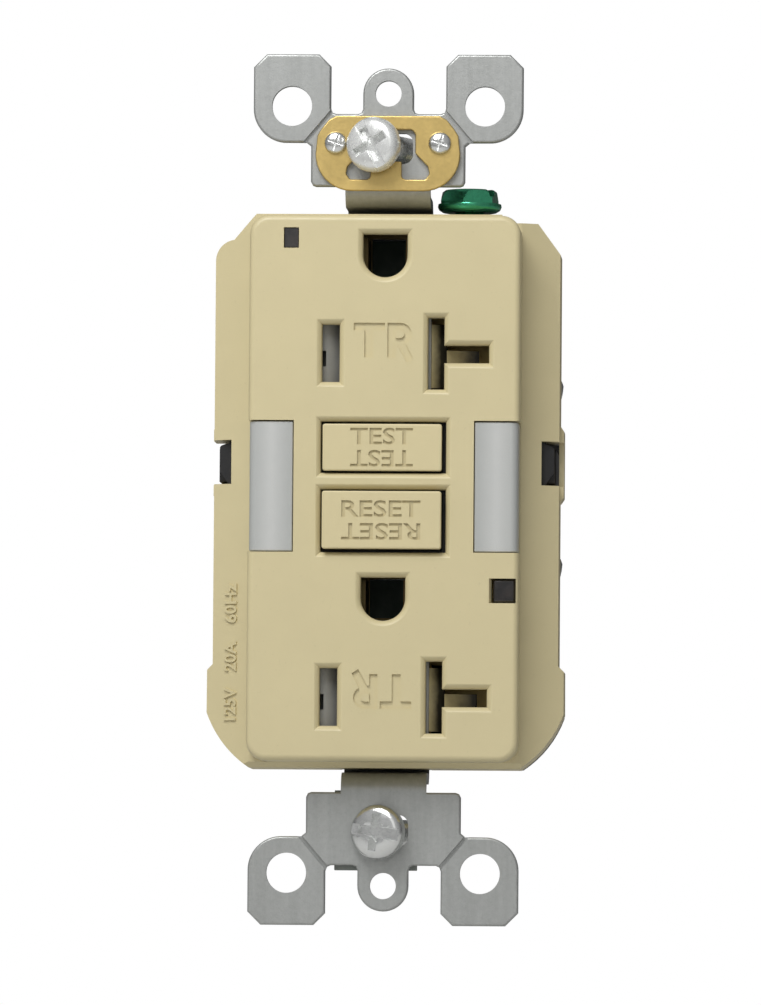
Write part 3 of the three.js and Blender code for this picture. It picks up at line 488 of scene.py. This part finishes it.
def shutter_mark(z, turn):
    """The letters T and R in wide strokes, as a cutter for the face."""
    stem = [(-3.6, 2.3), (0.2, 2.3), (0.2, 1.4), (-1.25, 1.4), (-1.25, -1.9), (-2.3, -1.9), (-2.3, 1.4), (-3.6, 1.4)]
    letter = [(0.5, -1.9), (0.5, 2.3)] + arc(2.1, 0.95, 1.35, 90, -60, 9)
    letter += [(3.65, -2.0), (2.85, -2.5), (1.75, -0.5), (1.5, -0.5), (1.5, -1.9)]
    bowl = [(1.5, 0.45), (1.5, 1.45)] + arc(2.05, 0.95, 0.5, 90, -90, 6)
    places = [[(x - 0.05, height) for x, height in line] for line in (stem, letter, bowl)]
    first, second, middle = (drawn(line, face_front - 0.5, face_front + 0.30) for line in places)
    carve(second, middle)
    for piece in (first, second):
        piece.rotation_euler = (0, math.radians(turn), 0)
        piece.location = Vector((-0.1, 0, z)) * MM
        fixed(piece)
    return [first, second]


sunk = shutter_mark(17.6, 0) + shutter_mark(-24.7, 180)
rating_x = -18.8
rating_y = shoulder + (-16.5 - rating_x) * math.tan(lean)
raised = [
    lettering(words, width, 1.75, (rating_x, rating_y, z), -90, -slope, depth=0.24, weight=0.020)
    for words, width, z in (("125V", 4.0, -26.3), ("20A", 3.6, -20.5), ("60Hz", 4.8, -14.0))
]
finished(cover, "cover", "housing", ivory, ["front_cover"], 0.07, sunk=sunk, raised=raised)

# ---- Status light and light sensor -------------------------------------------------------------
# Two little windows of smoked acrylic let into the face. The status window is the end of a pipe
# that reaches back to a diode on the board; the other lets room light reach the guide-light sensor.
smoked = Finish("smoked_acrylic")
depth_of_tint = smoked.ramp(smoked.noise(700, 2), 0.35, 0.65)
smoked.put(Base_Color=smoked.blend(depth_of_tint, (0.006, 0.005, 0.005), (0.022, 0.017, 0.015)))
smoked.put(Roughness=smoked.ramp(smoked.noise(1800, 3), 0.3, 0.75, 0.06, 0.22), Coat_Weight=0.5)
smoked.bump(smoked.noise(1200, 2), 0.00001)

pipe = weld(
    block(-12.24, -10.6, face_front + 0.3, face_back + 0.1, 29.1, 31.42),
    block(-12.24, -10.6, face_back, 9.7, 29.15, 30.8),
    block(-12.7, -10.1, face_back + 0.2, -3.6, 28.7, 31.3),
)
finished(pipe, "status_window", "housing", smoked.material, ["status_light_pipe"], 0.15, 3)

sensor = block(13.38, 16.05, face_front + 0.45, -3.0, -14.02, -11.22)
finished(sensor, "sensor_window", "housing", smoked.material, ["light_sensor_window"], 0.3, 4)

# ---- Guide lights ------------------------------------------------------------------------------
# A frosted acrylic lens at each side wraps round the edge of the face and snaps in from behind.
# Down the middle of each lens runs a soft upright band of painted light, and its sides are darker. A pale diode
# stands behind each one.
frosted = Finish("frosted_acrylic")
across = frosted.node("SeparateXYZ", None, {"Vector": frosted.place()})["X"]
from_middle = frosted.node("Math", {"operation": "ABSOLUTE"}, {0: across})
# A band of painted light, brightest at the middle of each lens and fading towards its sides.
painted_band_middle = 13.7 * MM
off_painted_band = frosted.node("Math", {"operation": "ABSOLUTE"}, {0: from_middle - painted_band_middle})
painted_band = frosted.ramp(off_painted_band, 0.0002, 0.0021, 1, 0)
milky = frosted.noise(420, 4, 0.6)
pale = frosted.blend(painted_band * 0.8, (0.42, 0.43, 0.415), (0.56, 0.565, 0.55))
frosted.put(Base_Color=frosted.blend(frosted.ramp(milky, 0.35, 0.7) * 0.12, pale, (0.40, 0.42, 0.42)))
frosted.put(Roughness=frosted.ramp(frosted.noise(1600, 2), 0.3, 0.7, 0.38, 0.55), Coat_Weight=0.12)
frosted.bump(frosted.noise(3600, 2), 0.000015)

lens_line = rounded(
    [(11.05, -6.98, 0.15), (16.34, -6.98, 0.9), (16.34, -1.8, 0.0), (15.0, -1.8, 0.0), (15.0, -5.5, 0.4),
     (11.05, -5.5, 0.0)], 6
)
for side, sign in (("left", -1), ("right", 1)):
    lens = drawn([(sign * x, y) for x, y in lens_line], -7.9, 7.86, "z")
    finished(lens, "lens_" + side, "housing", frosted.material, ["guide_lens_" + side], 0.14, 3)

# ---- Test and reset buttons --------------------------------------------------------------------
# Both are moulded in the cover's plastic, with a collar that stops them behind the face and their
# names sunk into the front, once upright and once for an outlet mounted the other way up. The
# reset button stands proud, because the device is tripped.
# The buttons' colour darkens with painted shade: a little in their sunk letters, and nearly to black along their
# sides from just behind the face.
GAP_SHADE = (face_front + 0.2, face_front + 1.0, 0.03)
TEST_FRONT, RESET_FRONT = face_front - 0.12, face_front - 0.85
test_ivory, reset_ivory = (
    moulded(name, (0.64, 0.555, 0.325), 0.36, 0.010, sunk=((front + 0.12, front + 0.22, 0.86), GAP_SHADE))
    for name, front in (("ivory_test", TEST_FRONT), ("ivory_reset", RESET_FRONT))
)


def button(front, low, high):
    cap = drawn(rectangle(-7.44, 7.06, low, high, 0.3, 5), front, -3.2)
    ease(cap, at_y(front), 0.2, 4)
    collar = block(-7.95, 7.95, -3.9, -3.2, low - 0.45, high + 0.45)
    return weld(cap, collar)


test = button(TEST_FRONT, 1.88, 7.60)
weld(test, rod(0, -3.4, 4.85, 1.2, 5.0))
sunk = [
    lettering("TEST", 7.6, 2.05, (-0.25, TEST_FRONT, z), turn, depth=0.26, weight=0.014)
    for z, turn in ((6.10, 0), (3.40, 180))
]
finished(test, "button_test", "test", test_ivory, ["test_button"], 0.06, sunk=sunk)

reset = button(RESET_FRONT, -7.62, -0.60)
carve(reset, rod(0, -5.0, -3.975, 1.05, 3.0))
sunk = [
    lettering("RESET", 9.6, 2.05, (-0.25, RESET_FRONT, z), turn, depth=0.26, weight=0.014)
    for z, turn in ((-2.75, 0), (-5.52, 180))
]
finished(reset, "button_reset", "reset", reset_ivory, ["reset_button"], 0.06, sunk=sunk)

# ---- Tamper-resistant shutters -----------------------------------------------------------------
# Behind each pair of slots slides a grey acetal shutter with a ramp behind each slot. Two blades
# together push it aside; one alone can't. It runs on an ivory frame clipped behind the face.


def deepening(name, shade, roughness, near, far, dark):
    """Moulded plastic whose colour darkens with painted shade towards the bottom of its recess."""
    finish = Finish(name)
    depth = finish.node("SeparateXYZ", None, {"Vector": finish.place()})["Y"]
    clouds = finish.noise(900, 3)
    sunk = finish.ramp(depth + clouds * 0.0004, near * MM + 0.0002, far * MM + 0.0002)
    finish.put(Base_Color=finish.blend(sunk, shade, tuple(c * dark for c in shade)))
    finish.put(Roughness=finish.ramp(clouds, 0.3, 0.7, roughness - 0.05, roughness + 0.08))
    finish.bump(finish.noise(5200, 2), 0.00001)
    return finish.material


# The shutters, stops and frames darken with painted shade deeper in; the ivory of the stops and frames is itself a
# darker copy of the cover's ivory, painted shade as well.
grey = deepening("grey_acetal", (0.29, 0.29, 0.275), 0.36, -4.9, -3.4, 0.30)
leg_ivory = deepening("ivory_leg_ramp", (0.31, 0.255, 0.12), 0.40, -4.4, -3.8, 0.04)
ramp_ivory = deepening("ivory_ramp", (0.42, 0.36, 0.20), 0.40, -4.85, -4.0, 0.04)
SHUTTER_FRONT, SHUTTER_BACK = -4.95, -3.2
for level, z in RECEPTACLES.items():
    body, ends = level + "_shutter", (z - 4.5, z + 4.5)
    slider = block(-8.7, 11.0, SHUTTER_FRONT, SHUTTER_BACK, z - 5.4, z + 5.4)
    carve(
        slider,
        block(-7.7, -2.4, -6, 0, *ends),
        block(5.6, 10.2, -6, 0, *ends),
        block(7.6, 12, -6, 0, z - 1.3, z + 1.15),
    )
    finished(slider, "slider_" + level, body, grey, ["shutter_" + level], 0.07)
    hot_stop = drawn(
        [(-7.66, -4.85), (-6.75, -4.85), (-5.1, -3.75), (-5.1, -3.2), (-7.66, -3.2)], z - 4.2, z + 3.55, "z"
    )
    carve(hot_stop, block(-8, -7.22, -6, -3.4, z - 1.55, z + 0.35))
    finished(hot_stop, "hot_stop_" + level, body, grey, (), 0.06)
    neutral_stop = drawn([(5.63, -4.85), (7.45, -3.5), (7.45, -3.2), (5.63, -3.2)], z - 4.15, z + 3.6, "z")
    finished(neutral_stop, "neutral_stop_" + level, body, ramp_ivory, (), 0.05)
    leg_stop = drawn([(7.5, -4.75), (11.4, -3.7), (11.4, -3.2), (7.5, -3.2)], z - 1.2, z + 0.45, "z")
    finished(leg_stop, "leg_stop_" + level, body, leg_ivory, (), 0.05)
    track = weld(
        block(-13.2, 14.2, -3.1, -2.2, z - 5.6, z + 5.6),
        block(-13.2, -12.4, SHUTTER_FRONT, -2.2, z - 5.6, z + 5.6),
        block(13.4, 14.2, SHUTTER_FRONT, -2.2, z - 5.6, z + 5.6),
    )
    carve(
        track,
        block(-7.7, -5.2, -6, 0, z - 3.8, z + 3.8),
        block(5.2, 7.5, -6, 0, z - 4.6, z + 4.6),
        block(5.2, 12.9, -6, 0, z - 1.3, z + 1.15),
    )
    finished(track, "track_" + level, "housing", ramp_ivory, ["shutter_frame_" + level], 0.08)

# ---- Contacts, board and trip mechanism --------------------------------------------------------
# Inside: the black carrier with its stamped brass contacts, the sensing board with its two ring
# cores, and the solenoid that pulls the latch and lets the moving contacts fall open.


def metal(name, shade, roughness, metallic=1.0, mottle=0.08, brushed=None, pits=0.000008):
    """Rolled or turned metal: a mottled plating, fine scratches, and roughness that follows both."""
    finish = Finish(name)
    where = finish.place()
    patches = finish.noise(320, 4, 0.6)
    if brushed:
        where = finish.node("Mapping", None, {"Vector": where, "Scale": brushed})
    fine = finish.noise(2400, 3, 0.6, where)
    dull = tuple(c * (1 - 2.2 * mottle) for c in shade)
    bright = tuple(min(1, c * (1 + mottle)) for c in shade)
    tone = finish.ramp(patches * 0.65 + fine * 0.35, 0.34, 0.66)
    finish.put(Base_Color=finish.blend(tone, dull, bright), Metallic=metallic)
    finish.put(Roughness=finish.ramp(fine * 0.6 + patches * 0.4, 0.3, 0.7, roughness - 0.07, roughness + 0.10))
    finish.bump(fine, pits)
    return finish.material


brass = metal("rolled_brass", (0.66, 0.485, 0.18), 0.34, 0.82, mottle=0.05)
# A far darker copy of the brass for the ground contacts: painted shade inside the ground holes.
shaded_brass = metal("brass_painted_shade", (0.15, 0.11, 0.045), 0.42, 0.8, mottle=0.08)
zinc = metal("zinc_plate", (0.78, 0.79, 0.78), 0.20, 1.0, mottle=0.05)
steel_wire = metal("spring_steel", (0.45, 0.46, 0.48), 0.30)
copper_wire = metal("enamelled_copper", (0.45, 0.17, 0.06), 0.34, 0.8, 0.10, (0.2, 0.2, 6))
black = moulded("black_plastic", (0.006, 0.006, 0.007), 0.46, 0.10)
iron = moulded("ferrite", (0.035, 0.037, 0.040), 0.55, 0.20)
board_green = moulded("circuit_board", (0.012, 0.055, 0.020), 0.45, 0.12)
fibre = moulded("fish_paper", (0.28, 0.30, 0.28), 0.80, 0.10, 0.00004)
diode = moulded("pale_diode", (0.55, 0.55, 0.54), 0.30, 0.02)

KEPT = {
    brass: "hot_contact_strip neutral_contact_strip contact_arm_hot contact_arm_neutral",
    shaded_brass: "ground_contact_upper ground_contact_lower",
    zinc: "reset_pin plunger latch",
    copper_wire: "coil_winding",
    black: "contact_carrier coil_bobbin",
    iron: "differential_core neutral_core",
    board_green: "circuit_board",
    grey: "lifter",
    diode: "guide_led_left guide_led_right",
}
for finish, names in KEPT.items():
    for name in names.split():
        for place in frame["nodes"][name].material_slots:
            place.material = finish

# ---- Back body ---------------------------------------------------------------------------------
# The black thermoplastic shell that closes the device behind the strap, with a bay for each
# terminal, wire holes at the back, and a sunk boss for each of the four screws.


def refined(node, name, finish, width=0.12, segments=2):
    """A copy of a CAD node with its corners merged and its edges broken."""
    source = frame["nodes"][node]
    only(source)
    bpy.ops.object.duplicate()
    piece = bpy.context.object
    body = piece["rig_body"]
    piece.parent = None
    del piece["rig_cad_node"], piece["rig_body"]
    return finished(piece, name, body, finish, [node], width, segments)


only(frame["nodes"]["back_body"])
bpy.ops.object.duplicate()
shell = bpy.context.object
shell.parent = None
del shell["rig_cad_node"], shell["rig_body"]
choose(shell, "verts", lambda vertex: True)
tidy_faces()
for side in (-1, 1):
    catch = rounded([(18.8, 0.7, 0), (19.4, 0.7, 0), (20.45, 2.2, 0), (20.45, 5.3, 0.4), (18.8, 5.9, 0)], 3)
    weld(shell, drawn([(side * x, z) for x, z in catch], 1.2, 8.2))
finished(shell, "rear_shell", "housing", black, ["back_body"], 0.15, 2)
for number in range(1, 5):
    refined(f"assembly_screw_{number}", f"case_screw_{number}", zinc, 0.08)

# ---- Springs -----------------------------------------------------------------------------------
# Coils of spring wire that push the buttons forwards, the shutters shut and the plunger out. One
# end of each rests in the body. Each coil is a copy of its CAD node with a mesh of its own.
for node, joint, axis, anchor, length, travel in (
    ("test_spring", "test_press", (0, 1, 0), (0, 2.7, 4.85), 5.8, 1.4),
    ("reset_spring", "reset_press", (0, 1, 0), (0, 2.7, -3.975), 5.8, 1.6),
    ("shutter_spring_upper", "shutter_upper_slide", (1, 0, 0), (-12.3, -4.05, 16.33), 3.5, 2.6),
    ("shutter_spring_lower", "shutter_lower_slide", (1, 0, 0), (-12.3, -4.05, -25.47), 3.5, 2.6),
    ("plunger_spring", "plunger_stroke", (0, 0, 1), (0, 0, -27.1), 2.7, 1.2),
):
    coil = refined(node, "coil_" + node, steel_wire, 0)
    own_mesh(coil)

# ---- Terminals ---------------------------------------------------------------------------------
# Brass screws on the hot side and nickel-plated on the neutral side, each drawing a ribbed clamp
# plate against a fixed brass plate to grip the wire.


def turned(profile, sides=48):
    """A solid of revolution about the Y axis, from its (radius, y) profile."""
    bpy.ops.mesh.primitive_circle_add(vertices=len(profile), fill_type="NOTHING")
    piece = bpy.context.object
    for vertex, (radius, y) in zip(piece.data.vertices, profile):
        vertex.co = (radius * MM, y * MM, 0)
    only(piece)
    bpy.ops.object.mode_set(mode="EDIT")
    bpy.ops.mesh.select_all(action="SELECT")
    bpy.ops.mesh.spin(steps=sides, angle=2 * math.pi, center=(0, 0, 0), axis=(0, 1, 0))
    bpy.ops.mesh.select_all(action="SELECT")
    bpy.ops.mesh.remove_doubles(threshold=1e-7)
    bpy.ops.mesh.dissolve_degenerate(threshold=1e-7)
    tidy_faces()
    return piece


def cross_cut(screw, top, radius, width, slot_depth, cross_depth):
    """Cuts a slot right across a screw's head, and a cross recess in its middle."""
    reach = radius * 0.62
    return carve(
        screw,
        block(-radius - 1, radius + 1, top - 1, top + slot_depth, -width / 2, width / 2),
        block(-width / 2, width / 2, top - 1, top + cross_depth, -reach, reach),
        block(-reach, reach, top - 1, top + cross_depth, -width / 2, width / 2),
    )


def thread(start, end, radius, pitch=0.79, depth=0.32):
    """The profile of a screw thread, crest and root by turns."""
    points, y = [], start
    while y < end - pitch:
        points += [(radius - depth, y), (radius, y + pitch * 0.45), (radius, y + pitch * 0.55)]
        y += pitch
    return points + [(radius - depth, y)]


def put(piece, place, turn=(0, 0, 0)):
    piece.rotation_euler = turn
    piece.location = Vector(place) * MM
    return fixed(piece)


def copied(piece):
    only(piece)
    bpy.ops.object.duplicate()
    return bpy.context.object


terminal = turned(
    [(0, -1.75), (2.5, -1.73), (3.3, -1.58), (3.8, -1.2), (4.0, -0.8), (4.0, 0), (1.9, 0)]
    + thread(0.3, 6.2, 1.9) + [(1.4, 6.5), (0, 6.5)], 40
)
cross_cut(terminal, -1.75, 4, 1.2, 0.6, 1.2)
for line, z in (("line", -11.0), ("load", 11.0)):
    for pole, side in (("hot", -1), ("neutral", 1)):
        ending = f"{line}_{pole}"
        shade, slot = (brass, "brass") if side < 0 else (zinc, "zinc_plate")
        screw = put(copied(terminal), (side * 18.7, 15.0, z), (0.3 * side, 0, side * math.pi / 2))
        finished(screw, "screw_" + ending, "screw_" + ending, shade, ["terminal_screw_" + ending], 0.08)
        refined("clamp_plate_" + ending, "clamp_" + ending, shade, 0.12)
        refined("terminal_plate_" + ending, "plate_" + ending, brass, 0.12)
bpy.data.objects.remove(terminal)

# ---- Mounting strap ----------------------------------------------------------------------------
# One galvanised steel stamping: a bridge inside the device, a neck that bends forwards at each
# end, and a flat end with a slot for the box screw, a tapped tab for the wall plate's screw, and
# two ears scored to snap off.
galvanised = Finish("galvanised_steel")
spangle = galvanised.noise(1500, 4, 0.6)
grains = galvanised.noise(5200, 3, 0.65)
drawn_out = galvanised.node("Mapping", None, {"Vector": galvanised.place(), "Scale": (1, 1, 0.05)})
rolled = galvanised.noise(1100, 3, 0.6, drawn_out)
zinc_tone = galvanised.blend(
    galvanised.ramp(spangle * 0.5 + rolled * 0.5, 0.36, 0.64), (0.375, 0.385, 0.375), (0.44, 0.45, 0.44)
)
dark_grains = galvanised.ramp(grains, 0.58, 0.72) * 0.30
galvanised.put(Base_Color=galvanised.blend(dark_grains, zinc_tone, (0.25, 0.255, 0.25)))
galvanised.put(Metallic=0.70, Roughness=galvanised.ramp(grains, 0.3, 0.7, 0.36, 0.50))
galvanised.bump(grains * 0.6 + spangle * 0.4, 0.00002)

half_end = [(8.8, 37.0), (9.2, 37.15), (9.43, 37.6), (9.43, 41.95), (10.0, 42.4), (10.9, 42.4)]
half_end += arc(12.4, 46.5, 4.1, -85, 0, 14)
half_end += [(16.5, 51.6), (14.9, 53.2), (8.5, 53.2), (7.05, 51.75), (7.05, 46.6), (6.85, 46.1), (6.4, 45.9)]
half_end += [(3.7, 45.9), (3.3, 46.05), (3.1, 46.5)]
end_line = half_end + arc(0, 48.4, 3.1, 0, 180, 20) + [(-x, z) for x, z in reversed(half_end)]
strap_end = drawn(end_line, -1.3, 0)
ease(strap_end, at_y(-1.3), 0.28, 4)
neck_outer, neck_inner, neck_z = 2.5, 1.2, 34.55
bend_y, bend_z = 7.2 - neck_inner, neck_z - neck_inner
neck_line = [(0, 38.05), (-1.3, 38.05)] + arc(1.2, 37.05, neck_outer, 180, 270, 10)
neck_line += arc(bend_y, bend_z, neck_inner, 90, 0, 8) + [(7.2, -0.5), (8.5, -0.5)]
neck_line += arc(bend_y, bend_z, neck_outer, 0, 90, 10) + arc(1.2, 37.05, neck_inner, 270, 180, 8)
weld(strap_end, drawn(neck_line, -5.2, 5.2, "x"))
carve(strap_end, drawn(rectangle(-3.05, 3.05, 39.75, 43.59, 1.2, 6), -3, 3), rod(0, -3, 48.4, 1.6, 6, sides=40))
for side in (-1, 1):
    bpy.ops.mesh.primitive_cube_add(
        size=1, location=(side * 8.5 * MM, -1.3 * MM, 44.33 * MM), scale=(7 * MM, 1.06 * MM, 0.5 * MM),
        rotation=(0, side * math.atan2(3.55, 3.02), 0),
    )
    carve(strap_end, fixed(bpy.context.object), rod(side * 11.8, -3, 46.85, 2.45, 6, sides=48))
lower_end = copied(strap_end)
lower_end.scale = (1, 1, -1)
fixed(lower_end)
choose(lower_end, "verts", lambda vertex: True)
tidy_faces()
strap = weld(strap_end, lower_end)
carve(strap, *[rod(x, -2, 42.25, 1.1, 3) for x in (-6.35, 6.35)])
tab_line = [(7.2, 30.2), (7.2, 32.4), (2.9, 32.4), (2.9, 33.7)] + arc(7.3, 32.5, 1.2, 90, 0, 6) + [(8.5, 30.2)]
ground_tab = weld(drawn(tab_line, 6.0, 13.6, "x"), block(4.2, 7.4, 7.27, 8.43, 30.27, 32.2))
carve(ground_tab, rod(9.8, 4.95, 31, 2.15, 4, "z"))
weld(strap, ground_tab)
carve(strap, *[block(-2.4, 2.4, 6, 10, z + 9.83, z + 14.83) for z in RECEPTACLES.values()])
carve(strap, rod(0, 6, -3.975, 1.5, 4))
finished(strap, "strap", "housing", galvanised.material, ["mounting_strap"], 0.08, 2)

# ---- Self-grounding clip -----------------------------------------------------------------------
# A stamped brass leaf on the strap's upper end, held by two rivets. The tongue in its opening bears
# on the box screw, so the strap is grounded through it.
clip_line = arc(-4.35, 40.9, 4.5, 180, 270, 10) + arc(4.35, 40.9, 4.5, 270, 360, 10)
clip_line += [(8.6, 43.2), (8.1, 44.0), (7.2, 45.1), (6.3, 45.6)]
clip_line += [(-6.3, 45.6), (-7.2, 45.1), (-8.1, 44.0), (-8.6, 43.2)]
bell = [(-2.9, 43.9), (2.9, 43.9), (3.35, 43.4), (3.35, 41.0), (4.9, 39.4), (5.1, 38.5), (4.6, 37.8),
        (2.1, 37.8), (1.7, 38.1), (1.7, 40.0), (-2.1, 40.0), (-2.1, 38.1), (-2.5, 37.8), (-4.6, 37.8),
        (-5.1, 38.5), (-4.9, 39.4), (-3.35, 41.0), (-3.35, 43.4)]
clip = drawn(clip_line, -2.2, -1.4)
carve(clip, drawn(bell, -3, 0), *[rod(x, -4, 42.25, 1.1, 4) for x in (-6.35, 6.35)])
finished(clip, "grounding_clip", "housing", brass, ["self_ground_clip"], 0.16, 3)

for side, x in (("left", -6.35), ("right", 6.35)):
    rivet = turned(
        [(0, -2.98), (0.55, -2.95), (1.05, -2.82), (1.32, -2.6), (1.4, -2.35), (1.38, -2.21), (1.02, -2.21),
         (1.02, 0.1), (1.5, 0.1), (1.3, 0.55), (0, 0.7)], 32
    )
    for turn in (20, 110):
        mark = block(-1.0, 1.0, -4, -2.78, -0.11, 0.11)
        mark.rotation_euler = (0, math.radians(turn), 0)
        carve(rivet, fixed(mark))
    finished(put(rivet, (x, 0, 42.25)), "rivet_" + side, "housing", zinc, ["clip_rivet_" + side], 0.05)

# ---- Box screws and retainers ------------------------------------------------------------------
# Oval-headed steel screws, bright zinc plated, that hold the device to its box. Until then each
# hangs in its slot, captive in a square of grey fibre, with its head leaning to the left.
# The top screw gets a brighter, less metallic copy of the zinc, so that its head reads lighter: painted light. The
# bottom screw keeps the plain zinc.
zinc_painted_light = metal("zinc_painted_light", (0.86, 0.87, 0.855), 0.24, 0.58, mottle=0.04)
for end, place, lean_by, turn, plating in (
    ("top", (-1.42, -3.6, 41.86), 0.36, 61, zinc_painted_light),
    ("bottom", (-0.35, -2.5, -41.88), 0.31, 8, zinc),
):
    screw = turned(
        [(0, -2.1), (1.6, -2.09), (2.5, -2.0), (2.95, -1.82), (3.22, -1.5), (3.36, -1.1), (3.36, -0.12),
         (3.24, 0), (1.68, 0)] + thread(1.2, 18.3, 1.68) + [(1.1, 19.0), (0, 19.0)], 64
    )
    cuts = [
        block(-4.5, 4.5, -3, -1.66, -0.68, 0.68),
        block(-0.52, 0.52, -3, -0.9, -2.25, 2.25),
        block(-2.25, 2.25, -3, -0.9, -0.52, 0.52),
        block(-0.85, 0.85, -3, -0.75, -0.85, 0.85),
    ]
    for cutter, extra in zip(cuts, (0, 0, 0, 45)):
        cutter.rotation_euler = (0, math.radians(turn + extra), 0)
        fixed(cutter)
    carve(screw, *cuts)
    put(screw, place, (0, 0, -lean_by))
    finished(screw, "box_screw_" + end, end + "_screw", plating, ["mount_screw_" + end], 0.1, 3)
    refined("screw_retainer_" + end, "retainer_" + end, fibre, 0.08)

# ---- Ground screw ------------------------------------------------------------------------------
# A steel screw plated green, with a tapering hexagon on a round collar, slotted across. It stands
# upright in the strap's tab above the cover.
green = metal("green_zinc", (0.07, 0.42, 0.23), 0.18, 0.85, 0.12)
green_screw = turned(
    [(0, 0), (2.6, 0), (3.3, 0.12), (3.75, 0.4), (3.92, 0.8), (3.85, 1.2), (3.35, 2.6), (3.0, 2.86), (0, 2.9)], 48
)
put(green_screw, (0, 0, 0), (math.pi / 2, 0, 0))
corners = [(3.72 * math.cos(math.radians(60 * k + 20)), 3.72 * math.sin(math.radians(60 * k + 20))) for k in range(6)]
outside = carve(rod(0, 0, 1.15, 6, 3, "z"), drawn(corners, 0, 5, "z"))
carve(green_screw, outside)
stem = turned([(0, 0.2), (1.95, 0.2)] + [(r, -y) for r, y in thread(0.4, 5.0, 1.95)] + [(0, -5.1)], 36)
weld(green_screw, put(stem, (0, 0, 0), (math.pi / 2, 0, 0)))
slot_cut = block(-5, 5, -0.6, 0.6, 2.0, 4)
slot_cut.rotation_euler = (0, 0, -0.6)
carve(green_screw, fixed(slot_cut))
put(green_screw, (9.8, 4.95, 34.2))
finished(green_screw, "grounding_screw", "green_screw", green, ["ground_screw"], 0.12, 3)

# ---- Camera, light and floor -------------------------------------------------------------------
# A long lens a little to the right of the device and below it. One large soft lamp stands up and to
# the left, the room fills in from all round, and the floor and background are plain and pale.
aim = Vector((-0.67, 0, -1.59)) * MM
sideways, below, away = math.radians(2.66), math.radians(3.01), 1.2
bpy.ops.object.camera_add(
    location=aim + away * Vector(
        (math.sin(sideways) * math.cos(below), -math.cos(sideways) * math.cos(below), -math.sin(below))
    )
)
camera = bpy.context.object
camera.rotation_euler = (aim - camera.location).to_track_quat("-Z", "Y").to_euler()
camera.rotation_euler.rotate_axis("Z", math.radians(0.43))
camera.data.sensor_fit = "HORIZONTAL"
camera.data.sensor_width = 36
camera.data.lens = 8.19 * 36 * away / MM / 761
camera.data.clip_end = 20
bpy.context.scene.camera = camera


def lamp(place, power, size, shade=(1, 1, 1)):
    """A square softbox that faces the middle of the device."""
    bpy.ops.object.light_add(type="AREA", location=place)
    made = bpy.context.object
    made.data.energy = power
    made.data.size = size
    made.visible_camera = False
    made.data.color = shade
    made.rotation_euler = (-Vector(place)).to_track_quat("-Z", "Y").to_euler()
    return made


lamp((-0.10, -0.30, 0.32), 1.53, 0.24)
lamp((0.10, -1.6, 0.45), 0.7, 0.7, (1, 0.99, 0.97))

world = bpy.data.worlds.new("studio")
bpy.context.scene.world = world
world.use_nodes = True
nodes, links = world.node_tree.nodes, world.node_tree.links
room = nodes["Background"]
room.inputs["Strength"].default_value = 0.218
sky = nodes.new("ShaderNodeTexCoord")
towards = nodes.new("ShaderNodeVectorMath")
towards.operation = "DOT_PRODUCT"
towards.inputs[1].default_value = (-0.10, -0.88, 0.46)
rise = nodes.new("ShaderNodeMapRange")
rise.inputs["From Min"].default_value = -0.35
rise.inputs["To Min"].default_value = 0.40
rise.inputs["To Max"].default_value = 2.1
links.new(sky.outputs["Generated"], towards.inputs[0])
links.new(towards.outputs["Value"], rise.inputs["Value"])
links.new(rise.outputs[0], room.inputs["Color"])
backdrop = nodes.new("ShaderNodeBackground")
backdrop.inputs["Color"].default_value = (1, 1, 1, 1)
backdrop.inputs["Strength"].default_value = 1.0
seen = nodes.new("ShaderNodeLightPath")
either = nodes.new("ShaderNodeMixShader")
links.new(seen.outputs["Is Camera Ray"], either.inputs[0])
links.new(room.outputs[0], either.inputs[1])
links.new(backdrop.outputs[0], either.inputs[2])
links.new(either.outputs[0], nodes["World Output"].inputs["Surface"])
bpy.context.scene.view_settings.view_transform = "Standard"

paint = Finish("floor_paint", Roughness=0.8)
paint.put(Base_Color=paint.blend(paint.ramp(paint.noise(6, 3), 0.3, 0.7), (0.70, 0.70, 0.69), (0.76, 0.76, 0.75)))
bpy.ops.mesh.primitive_plane_add(size=3, location=(0, 0.6, -0.068))
floor = fixed(bpy.context.object)
floor.name = "floor"
floor.data.materials.append(paint.material)
